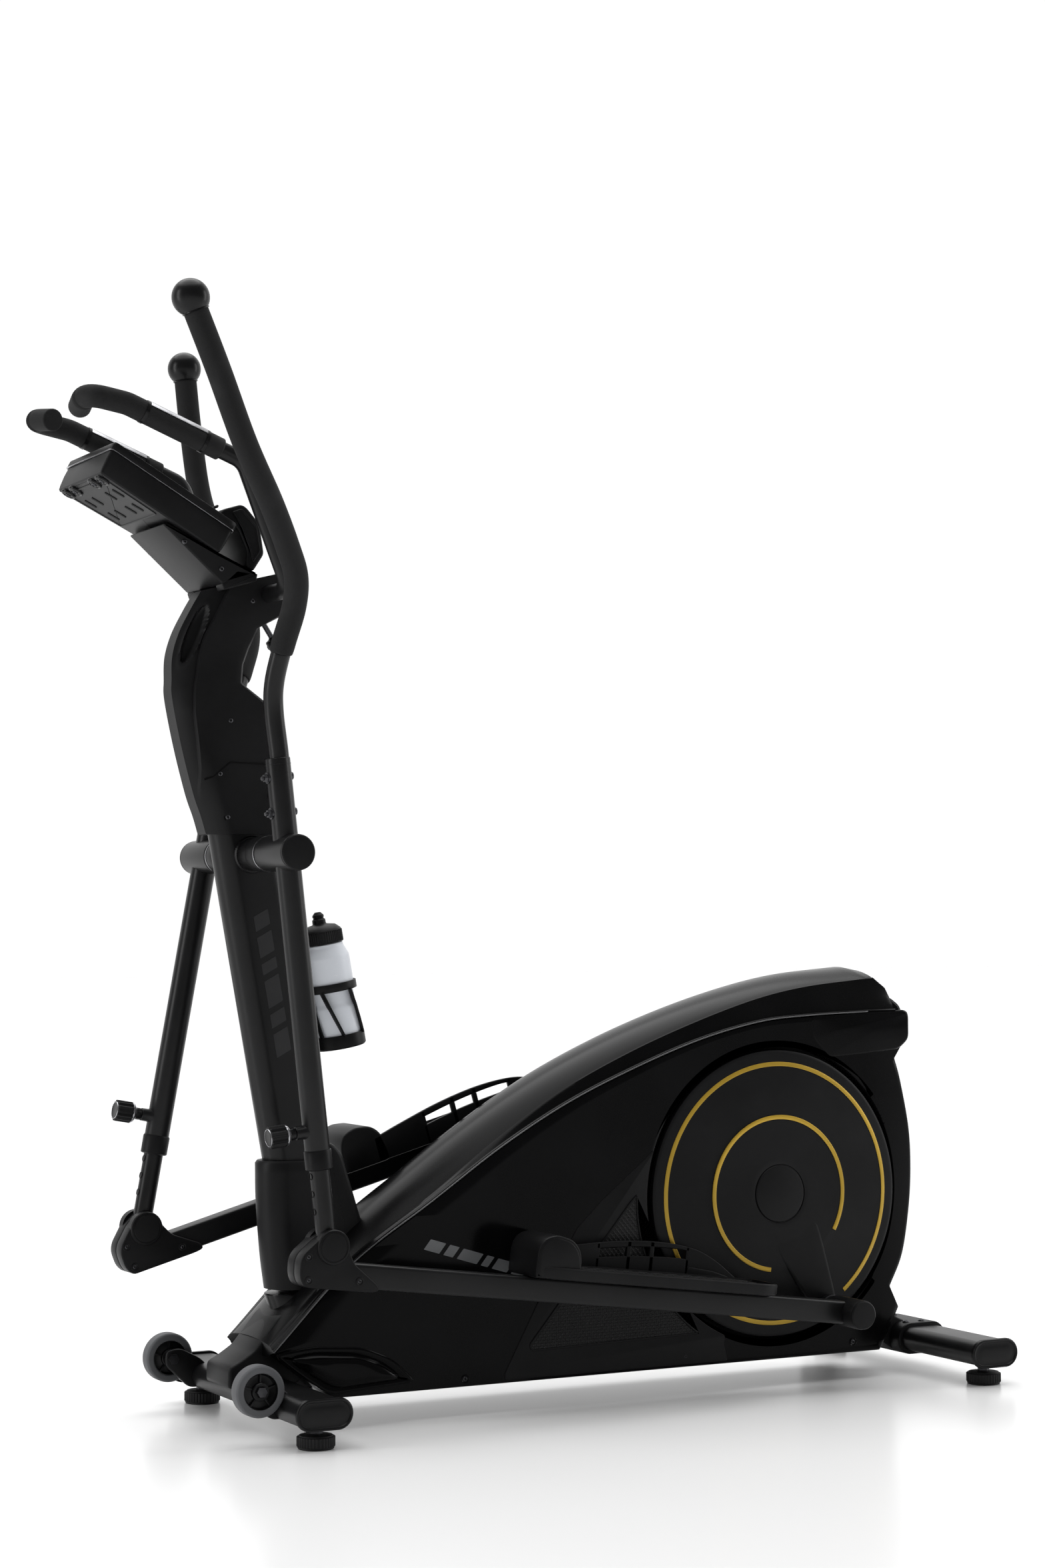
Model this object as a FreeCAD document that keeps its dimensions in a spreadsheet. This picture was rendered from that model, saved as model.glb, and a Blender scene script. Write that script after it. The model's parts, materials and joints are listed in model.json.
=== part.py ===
"""Elliptical trainer: a front post with two swinging arms, two pedal bars and a rear crank in a shroud.

Everything is laid out from one datum: X runs rearwards from the front stabiliser, Y to the right of a
person who faces the console (so the left side is negative), Z up from the floor. Millimetres throughout.
Each sub-part is then moved forward by origin_shift, so that the origin is under the middle of the machine.
"""
import FreeCAD, Part
import math
import os
import Sketcher
from FreeCAD import Placement, Rotation, Vector

X_AXIS, Y_AXIS, Z_AXIS = Vector(1, 0, 0), Vector(0, 1, 0), Vector(0, 0, 1)
LEFT, RIGHT = -1, 1
SIDES = {"left": LEFT, "right": RIGHT}
GAP = 0.3          # between curved faces that don't fit each other
RUNNING = 0.05     # radial clearance of a running fit

doc = FreeCAD.newDocument("elliptical_trainer")
sheet = doc.addObject("Spreadsheet::Sheet", "sizes")
subparts = []


# ---------------------------------------------------------------- sizes that remember their formula
class Size(float):
    """A number that also carries the formula tying it to the sheet."""

    def __new__(cls, number, formula=None):
        size = float.__new__(cls, number)
        size.formula = formula or "%.6g" % number
        return size

    def _with(self, other, sign, number, swapped=False):
        mine, theirs = self.formula, getattr(other, "formula", "%.6g" % other)
        pair = (theirs, sign, mine) if swapped else (mine, sign, theirs)
        return Size(number, "(%s %s %s)" % pair)

    def __add__(self, other):
        return self._with(other, "+", float(self) + float(other))

    def __radd__(self, other):
        return self._with(other, "+", float(other) + float(self), True)

    def __sub__(self, other):
        return self._with(other, "-", float(self) - float(other))

    def __rsub__(self, other):
        return self._with(other, "-", float(other) - float(self), True)

    def __mul__(self, other):
        return self._with(other, "*", float(self) * float(other))

    def __rmul__(self, other):
        return self._with(other, "*", float(other) * float(self), True)

    def __truediv__(self, other):
        return self._with(other, "/", float(self) / float(other))

    def __neg__(self):
        return Size(-float(self), "(-1 * %s)" % self.formula)


DRIVING = {
    "origin_shift": 431.08,      # from the front stabiliser to the middle of the machine
    "foot_pitch": 1135.0, "foot_spread": 213.0, "foot_pad": 27.0, "foot_rise": 20.0,
    "stab_level": 50.0, "stab_span": 238.0, "stab_wide": 80.0, "stab_tall": 38.0, "cap_thick": 8.0,
    "wheel_ahead": 70.2, "wheel_level": 78.0, "wheel_out": 175.0, "wheel_size": 36.3, "wheel_width": 24.0,
    "rail_wide": 50.0, "rail_tall": 34.0,
    "hub_ahead": 19.2, "hub_level": 819.8, "arm_out": 155.3, "arm_drop": 555.0,
    "arm_tube": 18.0, "leg_tube": 14.3, "handle_tube": 14.0, "grip_size": 17.0, "ball_size": 26.0,
    "sleeve_end": 435.0, "pin_drop": 392.0,
    "crank_back": 835.0, "crank_level": 299.0, "crank_throw": 201.4, "crank_angle": -64.44,
    "bar_span": 892.4, "bar_tall": 35.0, "bar_wide": 30.0, "bar_sag": 38.0, "pin_hub": 23.0,
    "pin_hub_in": 97.8, "pin_hub_out": 196.0,
    "shroud_half": 87.0, "wall": 3.0, "disc_size": 222.0, "well_size": 228.0,
    "pulley_size": 125.0, "fly_size": 118.0, "fly_pulley": 17.0, "belt_side": 56.0,
    "fly_back": 540.0, "fly_level": 215.0,
    "mast_deep": 100.0, "mast_wide": 56.0, "mast_lean": 10.3,
    "pedal_back": 316.0, "pedal_long": 424.0, "pedal_in": 104.0, "pedal_out": 200.0,
    "bottle_size": 36.0, "bottle_tall": 176.0,
    "console_tilt": 43.0,
}


def fill_sheet():
    """Write every driving dimension to a row of its own and hand them back as sizes."""
    sizes = {}
    for row, (alias, number) in enumerate(DRIVING.items(), 1):
        sheet.set("A%d" % row, alias)
        sheet.set("B%d" % row, "%g" % number)
        sheet.setAlias("B%d" % row, alias)
        sizes[alias] = Size(number, "sizes." + alias)
    doc.recompute()
    return sizes


d = fill_sheet()


# ---------------------------------------------------------------- small building blocks
def bind(thing, **wanted):
    """Set properties, and tie those that come from the sheet to it."""
    for name, size in wanted.items():
        setattr(thing, name, float(size))
        if isinstance(size, Size) and "sizes." in size.formula:
            thing.setExpression(name, size.formula)
    return thing


def turn_to(direction):
    return Rotation(Z_AXIS, Vector(*direction))


def rod(name, radius, length, at, direction=Y_AXIS):
    """A cylinder centred on a point, along a direction."""
    thing = bind(doc.addObject("Part::Cylinder", name), Radius=radius, Height=length)
    direction = Vector(*direction).normalize()
    thing.Placement = Placement(Vector(*at) - direction * (float(length) / 2), turn_to(direction))
    return thing


def block(name, lengths, centre, tilt=0.0):
    """A box centred on a point, tilted about Y."""
    thing = bind(doc.addObject("Part::Box", name), Length=lengths[0], Width=lengths[1], Height=lengths[2])
    turn = Rotation(Y_AXIS, tilt)
    half = Vector(*[float(size) / 2 for size in lengths])
    thing.Placement = Placement(Vector(*centre) - turn.multVec(half), turn)
    return thing


def joined(name, things):
    union = doc.addObject("Part::MultiFuse", name)
    union.Shapes = things
    return union


def without(name, base, tools):
    """The base with one or more tools taken away."""
    tool = tools[0] if len(tools) == 1 else joined(name + "_tools", tools)
    cut = doc.addObject("Part::Cut", name)
    cut.Base, cut.Tool = base, tool
    return cut


def shape(name, solid):
    """A piece whose form comes from Part's own functions."""
    thing = doc.addObject("Part::Feature", name)
    thing.Shape = solid
    return thing


def subpart(node, thing):
    """Name a finished piece after its node."""
    thing.Label = node
    subparts.append(thing)
    return thing


def several(node, things):
    """Separate solids that share one node."""
    group = doc.addObject("Part::Compound", node)
    group.Links = things
    return subpart(node, group)


def plane_of(body, role):
    return next(plane for plane in body.Origin.OriginFeatures if plane.Role == role)


def sketched(body, role, corners):
    """A closed outline on an origin plane, each corner held by two driving dimensions."""
    sketch = body.newObject("Sketcher::SketchObject", body.Name + "_outline")
    sketch.AttachmentSupport = [(plane_of(body, role), "")]
    sketch.MapMode = "FlatFace"
    count = len(corners)
    points = [Vector(float(a), float(b), 0) for a, b in corners]
    for index in range(count):
        sketch.addGeometry(Part.LineSegment(points[index], points[(index + 1) % count]), False)
    for index in range(count):
        sketch.addConstraint(Sketcher.Constraint("Coincident", index, 2, (index + 1) % count, 1))
    for index, (across, up) in enumerate(corners):
        for kind, size in (("DistanceX", across), ("DistanceY", up)):
            if abs(float(size)) < 1e-9:
                on_axis = -2 if kind == "DistanceX" else -1
                sketch.addConstraint(Sketcher.Constraint("PointOnObject", index, 1, on_axis))
                continue
            label = "%s%d" % ("across" if kind == "DistanceX" else "up", index)
            number = sketch.addConstraint(Sketcher.Constraint(kind, -1, 1, index, 1, float(size)))
            sketch.renameConstraint(number, label)
            if isinstance(size, Size) and "sizes." in size.formula:
                sketch.setExpression("Constraints." + label, size.formula)
    return sketch


def turned(name, profile, at, direction=Y_AXIS):
    """A body of revolution: profile corners are (radius, height along the axis)."""
    body = doc.addObject("PartDesign::Body", name)
    sketch = sketched(body, "XZ_Plane", profile)
    doc.recompute()
    spin = body.newObject("PartDesign::Revolution", name + "_turn")
    spin.Profile = sketch
    spin.ReferenceAxis = (sketch, ["V_Axis"])
    spin.Angle = 360
    body.Tip = spin
    body.Placement = Placement(Vector(*at), turn_to(direction))
    return body


def plate(name, outline, thick, at, turn=None, both_ways=True):
    """A padded outline. It is drawn flat in XY; by default it stands in XZ, its thickness along Y."""
    body = doc.addObject("PartDesign::Body", name)
    sketch = sketched(body, "XY_Plane", outline)
    doc.recompute()
    pad = body.newObject("PartDesign::Pad", name + "_pad")
    pad.Profile = sketch
    bind(pad, Length=thick)
    pad.Midplane = both_ways
    body.Tip = pad
    body.Placement = Placement(Vector(*at), turn or Rotation(X_AXIS, 90))
    return body


def spun(profile, at, direction):
    """A solid of revolution from (radius, height along the axis) corners."""
    solid = polygon_face([(radius, 0, along) for radius, along in profile]).revolve(Vector(), Z_AXIS, 360)
    solid.Placement = Placement(Vector(*at), turn_to(direction))
    return solid


def polygon_face(points):
    return Part.Face(Part.makePolygon([Vector(*point) for point in points + points[:1]]))


def side_slab(outline, low, high):
    """A solid with a side outline (x, z) between two Y values."""
    face = polygon_face([(x, low, z) for x, z in outline])
    return face.extrude(Vector(0, high - low, 0))


def side_curve(points):
    """A smooth edge through (x, z) points in the plane y = 0."""
    spline = Part.BSplineCurve()
    spline.interpolate([Vector(x, 0, z) for x, z in points])
    return spline


def bent_path(corners, radius):
    """Straight runs joined by tangent arcs; the bend radius may differ at each inner corner."""
    points = [Vector(*corner) for corner in corners]
    radii = radius if isinstance(radius, (list, tuple)) else [radius] * (len(points) - 2)
    edges, start = [], points[0]
    for index in range(1, len(points) - 1):
        before = (points[index - 1] - points[index]).normalize()
        after = (points[index + 1] - points[index]).normalize()
        half = before.getAngle(after) / 2
        reach = radii[index - 1] / math.tan(half)
        first, last = points[index] + before * reach, points[index] + after * reach
        inward = (before + after).normalize()
        middle = points[index] + inward * (radii[index - 1] / math.sin(half) - radii[index - 1])
        edges += [Part.LineSegment(start, first).toShape(), Part.Arc(first, middle, last).toShape()]
        start = last
    edges.append(Part.LineSegment(start, points[-1]).toShape())
    return Part.Wire(edges)


def swept(path, radius):
    """A round bar along a path."""
    start = path.Edges[0]
    ring = Part.Circle(start.valueAt(start.FirstParameter), start.tangentAt(start.FirstParameter), float(radius))
    return path.makePipeShell([Part.Wire([ring.toShape()])], True, True)


def oval_wire(deep, wide, x, y, z, normal=Z_AXIS):
    """An oblong with two half-round ends: deep along X, wide across."""
    radius, run = wide / 2, (deep - wide) / 2
    corners = [Vector(-run, -radius, 0), Vector(run, -radius, 0), Vector(run, radius, 0), Vector(-run, radius, 0)]
    edges = [Part.LineSegment(corners[0], corners[1]).toShape(),
             Part.Arc(corners[1], Vector(run + radius, 0, 0), corners[2]).toShape(),
             Part.LineSegment(corners[2], corners[3]).toShape(),
             Part.Arc(corners[3], Vector(-run - radius, 0, 0), corners[0]).toShape()]
    wire = Part.Wire(edges)
    wire.Placement = Placement(Vector(x, y, z), Rotation(Z_AXIS, normal))
    return wire


def oval_bar(deep, wide, start, finish, normal=Z_AXIS):
    """An oblong tube's outside between two points."""
    face = Part.Face(oval_wire(deep, wide, *start, normal=normal))
    return face.extrude(Vector(*finish) - Vector(*start))


def placed(solid, at, angle=0.0):
    """The same solid turned about Y (nose up positive) and moved."""
    copy = solid.copy()
    copy.Placement = Placement(Vector(*at), Rotation(Y_AXIS, -angle)).multiply(copy.Placement)
    return copy


def mirrored(solid):
    return solid.mirror(Vector(0, 0, 0), Y_AXIS)


def on_side(solid, side):
    """A solid drawn for the left side, mirrored if it belongs on the right."""
    return solid if side == LEFT else mirrored(solid)


# ---------------------------------------------------------------- linkage worked out from the crank
HUB = Vector(-d["hub_ahead"], 0, d["hub_level"])
CRANK = Vector(d["crank_back"], 0, d["crank_level"])


def linkage(side):
    """Pin, knee and arm angle of one side, from the crank angle (the right crank is opposite)."""
    angle = math.radians(d["crank_angle"] + (0 if side == LEFT else 180))
    pin = CRANK + Vector(math.cos(angle), 0, math.sin(angle)) * float(d["crank_throw"])
    gap = pin - HUB
    far = gap.Length
    along = (d["arm_drop"] ** 2 - d["bar_span"] ** 2 + far ** 2) / (2 * far)
    off = math.sqrt(d["arm_drop"] ** 2 - along ** 2)
    foot, across = HUB + gap * (along / far), Vector(gap.z, 0, -gap.x) * (off / far)
    knee = min((foot + across, foot - across), key=lambda point: point.x)
    lean = math.degrees(math.atan2(knee.x - HUB.x, HUB.z - knee.z))
    return pin, knee, lean


LINKS = {name: linkage(side) for name, side in SIDES.items()}


# ---------------------------------------------------------------- base
STAB_X = {"front": Size(0.0), "rear": d["foot_pitch"] + 0.0}


def stabiliser(name):
    """An oblong cross tube with a threaded foot hole near each end."""
    x, level = float(STAB_X[name]), d["stab_level"]
    tube = oval_bar(d["stab_wide"], d["stab_tall"], (x, -d["stab_span"], level), (x, d["stab_span"], level), Y_AXIS)
    bore = oval_bar(d["stab_wide"] - 6, d["stab_tall"] - 6, (x, -d["stab_span"], level),
                    (x, d["stab_span"], level), Y_AXIS)
    tube = tube.cut(bore)
    holes = [Part.makeCylinder(5.05, 40, Vector(x, side * d["foot_spread"], level - 40)) for side in SIDES.values()]
    tube = tube.cut(Part.makeCompound(holes))
    if name == "front":
        for side in SIDES.values():
            tube = tube.fuse(wheel_bracket(side))
    else:
        tube = tube.fuse(rear_saddle(x, float(level)))
    return subpart(name + "_stabiliser", shape(name + "_stabiliser", tube.removeSplitter()))


def wheel_bracket(side):
    """A thick ear that reaches forward from the tube to the wheel's axle, with the axle pin on it."""
    ahead, level, out = float(d["wheel_ahead"]), float(d["wheel_level"]), float(d["wheel_out"])
    tall, half = float(d["stab_tall"]), float(d["wheel_width"]) / 2
    outline = [(-ahead - 11, level - 9), (-ahead - 11, level + 9), (-ahead + 8, level + 15), (-14, level - 9),
               (-20, d["stab_level"] - tall / 2 + 4), (-42, d["stab_level"] - tall / 2 + 2)]
    thick = 9
    inner = out - half - 2 - thick
    ear = side_slab(outline, inner, inner + thick)
    pin = Part.makeCylinder(5, 2 * half + 5, Vector(-ahead, inner + thick - 1, level), Y_AXIS)
    head = Part.makeCylinder(8.5, 4, Vector(-ahead, out + half + 1, level), Y_AXIS)
    bracket = ear.fuse([pin, head])
    return bracket if side == RIGHT else mirrored(bracket)


def rear_saddle(x, level):
    """A collar round the middle of the rear tube, with a web that meets the end of the rail."""
    deep, tall = float(d["stab_wide"]) + 12, float(d["stab_tall"]) + 12
    collar = oval_bar(deep, tall, (x, -52, level), (x, 52, level), Y_AXIS)
    collar = collar.cut(oval_bar(deep - 12, tall - 12, (x, -52, level), (x, 52, level), Y_AXIS))
    web = side_slab([(1072.1, 46), (1072.1, 104), (x - 30, 78), (x - deep / 2 + 10, level - 12)], -25, 25)
    return collar.fuse(web.cut(oval_bar(deep - 12, tall - 12, (x, -60, level), (x, 60, level), Y_AXIS)))


def stabiliser_caps():
    """Four oblong plastic plugs over the tube ends."""
    caps = []
    for x in STAB_X.values():
        for side in SIDES.values():
            start = (float(x), side * d["stab_span"], float(d["stab_level"]))
            finish = (float(x), side * (d["stab_span"] + d["cap_thick"]), float(d["stab_level"]))
            caps.append(oval_bar(d["stab_wide"] + 6, d["stab_tall"] + 7, start, finish, Y_AXIS))
    return several("stabiliser_caps", [shape("cap%d" % index, cap) for index, cap in enumerate(caps)])


def feet():
    """Levelling feet: a ribbed pad on a stud that screws up into the tube."""
    pad, rise, level = d["foot_pad"], d["foot_rise"], d["stab_level"]
    profile = [(0, 0), (pad - 2, 0), (pad, 2), (pad, rise - 4), (pad - 4, rise), (9, rise), (9, rise + 5),
               (5, rise + 5), (5, level), (0, level)]
    for place, x in STAB_X.items():
        for hand, side in SIDES.items():
            node = "foot_%s_%s" % (place, hand)
            subpart(node, turned(node, profile, (x, side * d["foot_spread"], 0), Z_AXIS))


def transport_wheels():
    """Two moulded wheels with a raised tyre ring, running on the bracket pins."""
    size, half, bore = d["wheel_size"], d["wheel_width"] / 2, 5 + RUNNING
    profile = [(bore, -half), (12, -half), (12, 3 - half), (size - 11, 3 - half), (size - 11, -half), (size - 3, -half),
               (size, 3 - half), (size, half - 3), (size - 3, half), (size - 11, half), (size - 11, half - 3),
               (12, half - 3), (12, half), (bore, half)]
    for hand, side in SIDES.items():
        node = "transport_wheel_" + hand
        subpart(node, turned(node, profile, (-d["wheel_ahead"], side * d["wheel_out"], d["wheel_level"])))


# ---------------------------------------------------------------- frame
def mast_x(z):
    """Middle of the leaning mast at a height."""
    return HUB.x - (z - HUB.z) * math.tan(math.radians(d["mast_lean"]))


MAST_FOOT, MAST_TOP = 96.0, 1025.0
MAST_NECK = [(-86, MAST_TOP - 6), (-44, MAST_TOP - 6), (-44, 1075), (-37, 1112), (-15, 1160), (10, 1184.6), (-10, 1184.6),
             (-60, 1120)]


def main_frame():
    """The welded frame: rail, mast foot plate, crank upright with its bearing shell, flywheel plates."""
    wide, tall, crank = d["rail_wide"], d["rail_tall"], d["crank_back"]
    front, back = 40.1, 1072.0
    middle = 45 + tall / 2
    rail = block("rail", [back - front, wide, tall], ((front + back) / 2, 0, middle))
    nose = block("nose", [30, 60, 20], (56, 0, 55))
    foot = block("mast_foot", [110, 70, 10], (mast_x(MAST_FOOT) + 4, 0, MAST_FOOT - 5.3))
    stem = block("mast_stem", [60, 40, 20], (mast_x(MAST_FOOT) + 4, 0, MAST_FOOT - 17))
    upright = block("crank_upright", [44, 44, d["crank_level"] - 79 - 26], (crank, 0, (float(d["crank_level"]) + 53) / 2))
    shell = rod("bearing_shell", 28, 80, CRANK)
    hollow = rod("bearing_seat", 23.5, 100, CRANK)
    plates = []
    for y, inner in ((-70.0, -22.0), (26.0, 22.0)):
        reach = abs(y - inner) + 2
        plates.append(block("fly_plate%d" % len(plates), [46, 4, 170], (d["fly_back"], y, 162)))
        plates.append(block("fly_tie%d" % len(plates), [46, reach, 4], (d["fly_back"], (y + inner) / 2, 79)))
    plates.append(block("magnet_strut", [28, 4, 165], (507, 26, 300), -22))
    axle = rod("fly_axle", 6, 100, (d["fly_back"], -22, d["fly_level"]))
    pin = rod("magnet_pin", 4, 35, (MAGNET_PIVOT.x, 10, MAGNET_PIVOT.z))
    frame = joined("frame_union", [rail, nose, foot, stem, upright, shell, axle, pin] + plates)
    return subpart("main_frame", without("main_frame_body", frame, [hollow]))


def mast():
    """The leaning oblong post with its cross tube for the arm pivots and the handlebar seat at its top."""
    deep, wide = float(d["mast_deep"]), float(d["mast_wide"])
    start, finish = (mast_x(MAST_FOOT), 0, MAST_FOOT), (mast_x(MAST_TOP), 0, MAST_TOP)
    outer = Part.Face(oval_wire(deep, wide, *start)).extrude(Vector(*finish) - Vector(*start))
    inner = Part.Face(oval_wire(deep - 5, wide - 5, *start)).extrude((Vector(*finish) - Vector(*start)) * 0.985)
    cross = Part.makeCylinder(24, 180, HUB - Y_AXIS * 90, Y_AXIS)
    bore = Part.makeCylinder(12.6, 180, HUB - Y_AXIS * 90, Y_AXIS)
    post = outer.cut(inner).fuse([cross, side_slab(MAST_NECK, -22, 22)]).cut(bore)
    return subpart("mast_post", shape("mast_post", post))


def pivot_axle():
    """The cross shaft that both arms swing on, with a stepped end at each side."""
    reach, radius = d["arm_out"] + 30, 12.5
    return subpart("pivot_axle", turned("pivot_axle", [(0, -reach), (radius, -reach), (radius, reach), (0, reach)], HUB))


def crank_bearings():
    """Two ball bearings pressed in the shell, as plain rings."""
    rings = [turned("bearing%d" % index, [(10, -7), (23.5, -7), (23.5, 7), (10, 7)], CRANK + Y_AXIS * y)
             for index, y in enumerate((-31, 31))]
    return several("crank_bearings", rings)


# ---------------------------------------------------------------- drive
def crank_axle():
    reach = d["shroud_half"] - 3.5
    profile = [(0, -reach), (10 - RUNNING, -reach), (10 - RUNNING, reach), (0, reach)]
    return subpart("crank_axle", turned("crank_axle", profile, CRANK))


def drive_pulley():
    """A ribbed pulley with a thin web and a boss, bored for the crank axle."""
    size = d["pulley_size"]
    profile = [(10, -9), (22, -9), (22, -3), (size - 12, -3), (size - 12, -8), (size, -8), (size, 8), (size - 12, 8),
               (size - 12, 3), (22, 3), (22, 8), (10, 8)]
    return subpart("drive_pulley", turned("drive_pulley", profile, CRANK - Y_AXIS * float(d["belt_side"])))


def flywheel():
    """The flywheel disc with its small pulley, running on the fixed axle."""
    size, small, side, bore = d["fly_size"], d["fly_pulley"], d["belt_side"], 6 + RUNNING
    profile = [(bore, -side - 8), (small, -side - 8), (small, -side + 8), (13, -side + 8), (13, -18), (30, -18), (30, -8),
               (size - 26, -8), (size - 26, -14), (size, -14), (size, 10), (size - 26, 10), (size - 26, 3), (bore, 3)]
    return subpart("flywheel", turned("flywheel", profile, FLY))


FLY = Vector(d["fly_back"], 0, d["fly_level"])
BAR_SEAT = (3.0, 1198.0)


def drive_belt():
    """A flat belt round both pulleys: two arcs and two tangents, in the pulleys' plane."""
    gap = CRANK - FLY
    spread = math.acos((d["pulley_size"] - d["fly_pulley"]) / gap.Length)
    base = math.atan2(gap.z, gap.x)

    def loop(grow):
        big, small = d["pulley_size"] + grow, d["fly_pulley"] + grow

        def point(centre, radius, angle):
            return centre + Vector(math.cos(angle), 0, math.sin(angle)) * float(radius)

        turn_up, turn_down = base + math.pi - spread, base + math.pi + spread
        big_up, big_down = point(CRANK, big, turn_up), point(CRANK, big, turn_down)
        small_up, small_down = point(FLY, small, turn_up), point(FLY, small, turn_down)
        edges = [Part.Arc(big_up, point(CRANK, big, base), big_down).toShape(),
                 Part.LineSegment(big_down, small_down).toShape(),
                 Part.Arc(small_down, point(FLY, small, base + math.pi), small_up).toShape(),
                 Part.LineSegment(small_up, big_up).toShape()]
        return Part.Face(Part.Wire(edges))

    ring = loop(2.2).cut(loop(GAP))
    belt = ring.extrude(Vector(0, 13, 0))
    belt.translate(Vector(0, -d["belt_side"] - 6.5, 0))
    return subpart("drive_belt", shape("drive_belt", belt))


MAGNET_PIVOT = Vector(d["fly_back"] - 60, 0, d["fly_level"] + 150)


def magnet_bracket():
    """A curved shoe over the flywheel's front rim, hung from a pivot pin on its own lug."""
    inner, outer = float(d["fly_size"]) + 6, float(d["fly_size"]) + 16
    half, low, high = 15.0, math.radians(105), math.radians(185)

    def at(radius, angle):
        return FLY + Vector(math.cos(angle), 0, math.sin(angle)) * radius

    middle = (low + high) / 2
    edges = [Part.Arc(at(inner, low), at(inner, middle), at(inner, high)).toShape(),
             Part.LineSegment(at(inner, high), at(outer, high)).toShape(),
             Part.Arc(at(outer, high), at(outer, middle), at(outer, low)).toShape(),
             Part.LineSegment(at(outer, low), at(inner, low)).toShape()]
    shoe = Part.Face(Part.Wire(edges)).extrude(Vector(0, 2 * half, 0))
    shoe.translate(Vector(0, -half - 2, 0))
    lug = Part.makeBox(14, 8, 34, Vector(MAGNET_PIVOT.x - 7, -6, MAGNET_PIVOT.z - 26))
    eye = Part.makeCylinder(9, 8, MAGNET_PIVOT - Y_AXIS * 6, Y_AXIS)
    eye = eye.fuse([lug, shoe]).cut(Part.makeCylinder(4 + RUNNING, 20, MAGNET_PIVOT - Y_AXIS * 12, Y_AXIS))
    return subpart("magnet_bracket", shape("magnet_bracket", eye))


def crank_arms():
    """A flat arm at each end of the crank axle, ending in a boss under the pedal bar's pin."""
    arms = []
    for hand, side in SIDES.items():
        pin = LINKS[hand][0]
        out, inner = float(d["shroud_half"]) - 3, float(d["shroud_half"]) - 17
        bar = Part.makeBox(d["crank_throw"], 30, out - inner, Vector(0, -15, (inner - out) / 2))
        bar.Placement = Placement(CRANK + Y_AXIS * (side * (out + inner) / 2), crank_turn(hand))
        eye = Part.makeCylinder(24, out - inner, Vector(CRANK.x, side * inner, CRANK.z), Y_AXIS * side)
        boss = Part.makeCylinder(16, 27, Vector(pin.x, side * inner, pin.z), Y_AXIS * side)
        bore = Part.makeCylinder(10, 40, Vector(CRANK.x, side * (inner - 10), CRANK.z), Y_AXIS * side)
        arms.append(shape("crank_arm_" + hand, bar.fuse([eye, boss]).cut(bore).removeSplitter()))
    return several("crank_arms", arms)


def crank_turn(hand):
    """Lay a flat outline along one side's crank arm, in the plane across the axle."""
    angle = d["crank_angle"] + (0 if hand == "left" else 180)
    return Rotation(Y_AXIS, -float(angle)).multiply(Rotation(X_AXIS, 90))


def disc_height(radius):
    """How far the disc's face stands out from the middle plane: a rim, a shallow cone and a raised centre."""
    half = float(d["shroud_half"])
    if radius < 45:
        return half + 12
    if radius < 118:
        return half + 8 + (118 - radius) / (118 - 45) * 3
    return half - 1 + (222 - radius) / (222 - 118) * 9


def crank_disc(hand):
    """A dished plastic disc with a raised spoke over the crank arm and a hole for the arm's boss."""
    side, size, half = SIDES[hand], float(d["disc_size"]), float(d["shroud_half"])
    profile = [(0, half + 12), (44, half + 12), (45, half + 11), (118, half + 8), (size, half - 1), (size, half - 10),
               (size - 3, half - 10), (size - 3, half - 2.5), (118, half + 5), (45, half + 8), (0, half + 8)]
    disc = spun(profile, CRANK, Y_AXIS * side)
    reach = float(d["crank_throw"])
    outline = [(30, -42), (85, -40), (170, -26), (reach + 10, -16), (reach + 16, 0), (reach + 10, 16), (170, 26),
               (85, 40), (30, 42)]
    spoke = polygon_face([(x, y, -6) for x, y in outline]).extrude(Vector(0, 0, 12))
    spoke.Placement = Placement(CRANK + Y_AXIS * (side * (half + 3.6)), crank_turn(hand))
    pin = LINKS[hand][0]
    hole = Part.makeCylinder(16.6, 60, Vector(pin.x, side * 60, pin.z), Y_AXIS * side)
    node = "crank_disc_" + hand
    return subpart(node, shape(node, disc.fuse(spoke).cut(hole)))


def disc_trim():
    """Two thin rings on each disc, broken where the spoke passes."""
    rings = []
    for hand, side in SIDES.items():
        angle = d["crank_angle"] + (0 if side == LEFT else 180)
        for middle, width, gap_half in ((200, 7, 14), (118, 7, 26)):
            face = disc_height(middle - width / 2) + 0.1
            outer = Part.makeCylinder(middle + width / 2, 1, Vector(), Z_AXIS, 360 - 2 * gap_half)
            inner = Part.makeCylinder(middle - width / 2, 1, Vector(), Z_AXIS)
            ring = outer.cut(inner)
            spin = Rotation(Y_AXIS, -(angle + gap_half) if side == LEFT else -(angle - gap_half))
            flat = Rotation(X_AXIS, 90 if side == LEFT else -90)
            ring.Placement = Placement(CRANK + Y_AXIS * (side * face), spin.multiply(flat))
            rings.append(shape("ring%d" % len(rings), ring))
    return several("disc_trim", rings)


# ---------------------------------------------------------------- shroud
# Side lines of the shroud as (x, z): the panel's upper edge, the ridge above it and the crown on the middle.
PANEL_EDGE = [(-10, 113), (113, 232), (242, 316), (352, 388), (464, 449.5), (580, 498.5), (698, 539.5), (808, 565),
              (900, 573), (1010, 577)]
RIDGE_LIFT = [9, 5, 6, 12, 20, 25, 28, 36, 46, 53]
CROWN_LIFT = [62, 31, 42, 43, 45, 48, 49, 54, 64, 70]
TAIL_LIP = [(1084, 577), (1086, 530)]
TAIL = [(1066, 504), (1079, 467), (1097, 392), (1101, 328), (1096, 264), (1080, 191), (1052, 140)]
SOLE = [(1070, 106), (1030, 42), (82, 42)]


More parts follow.
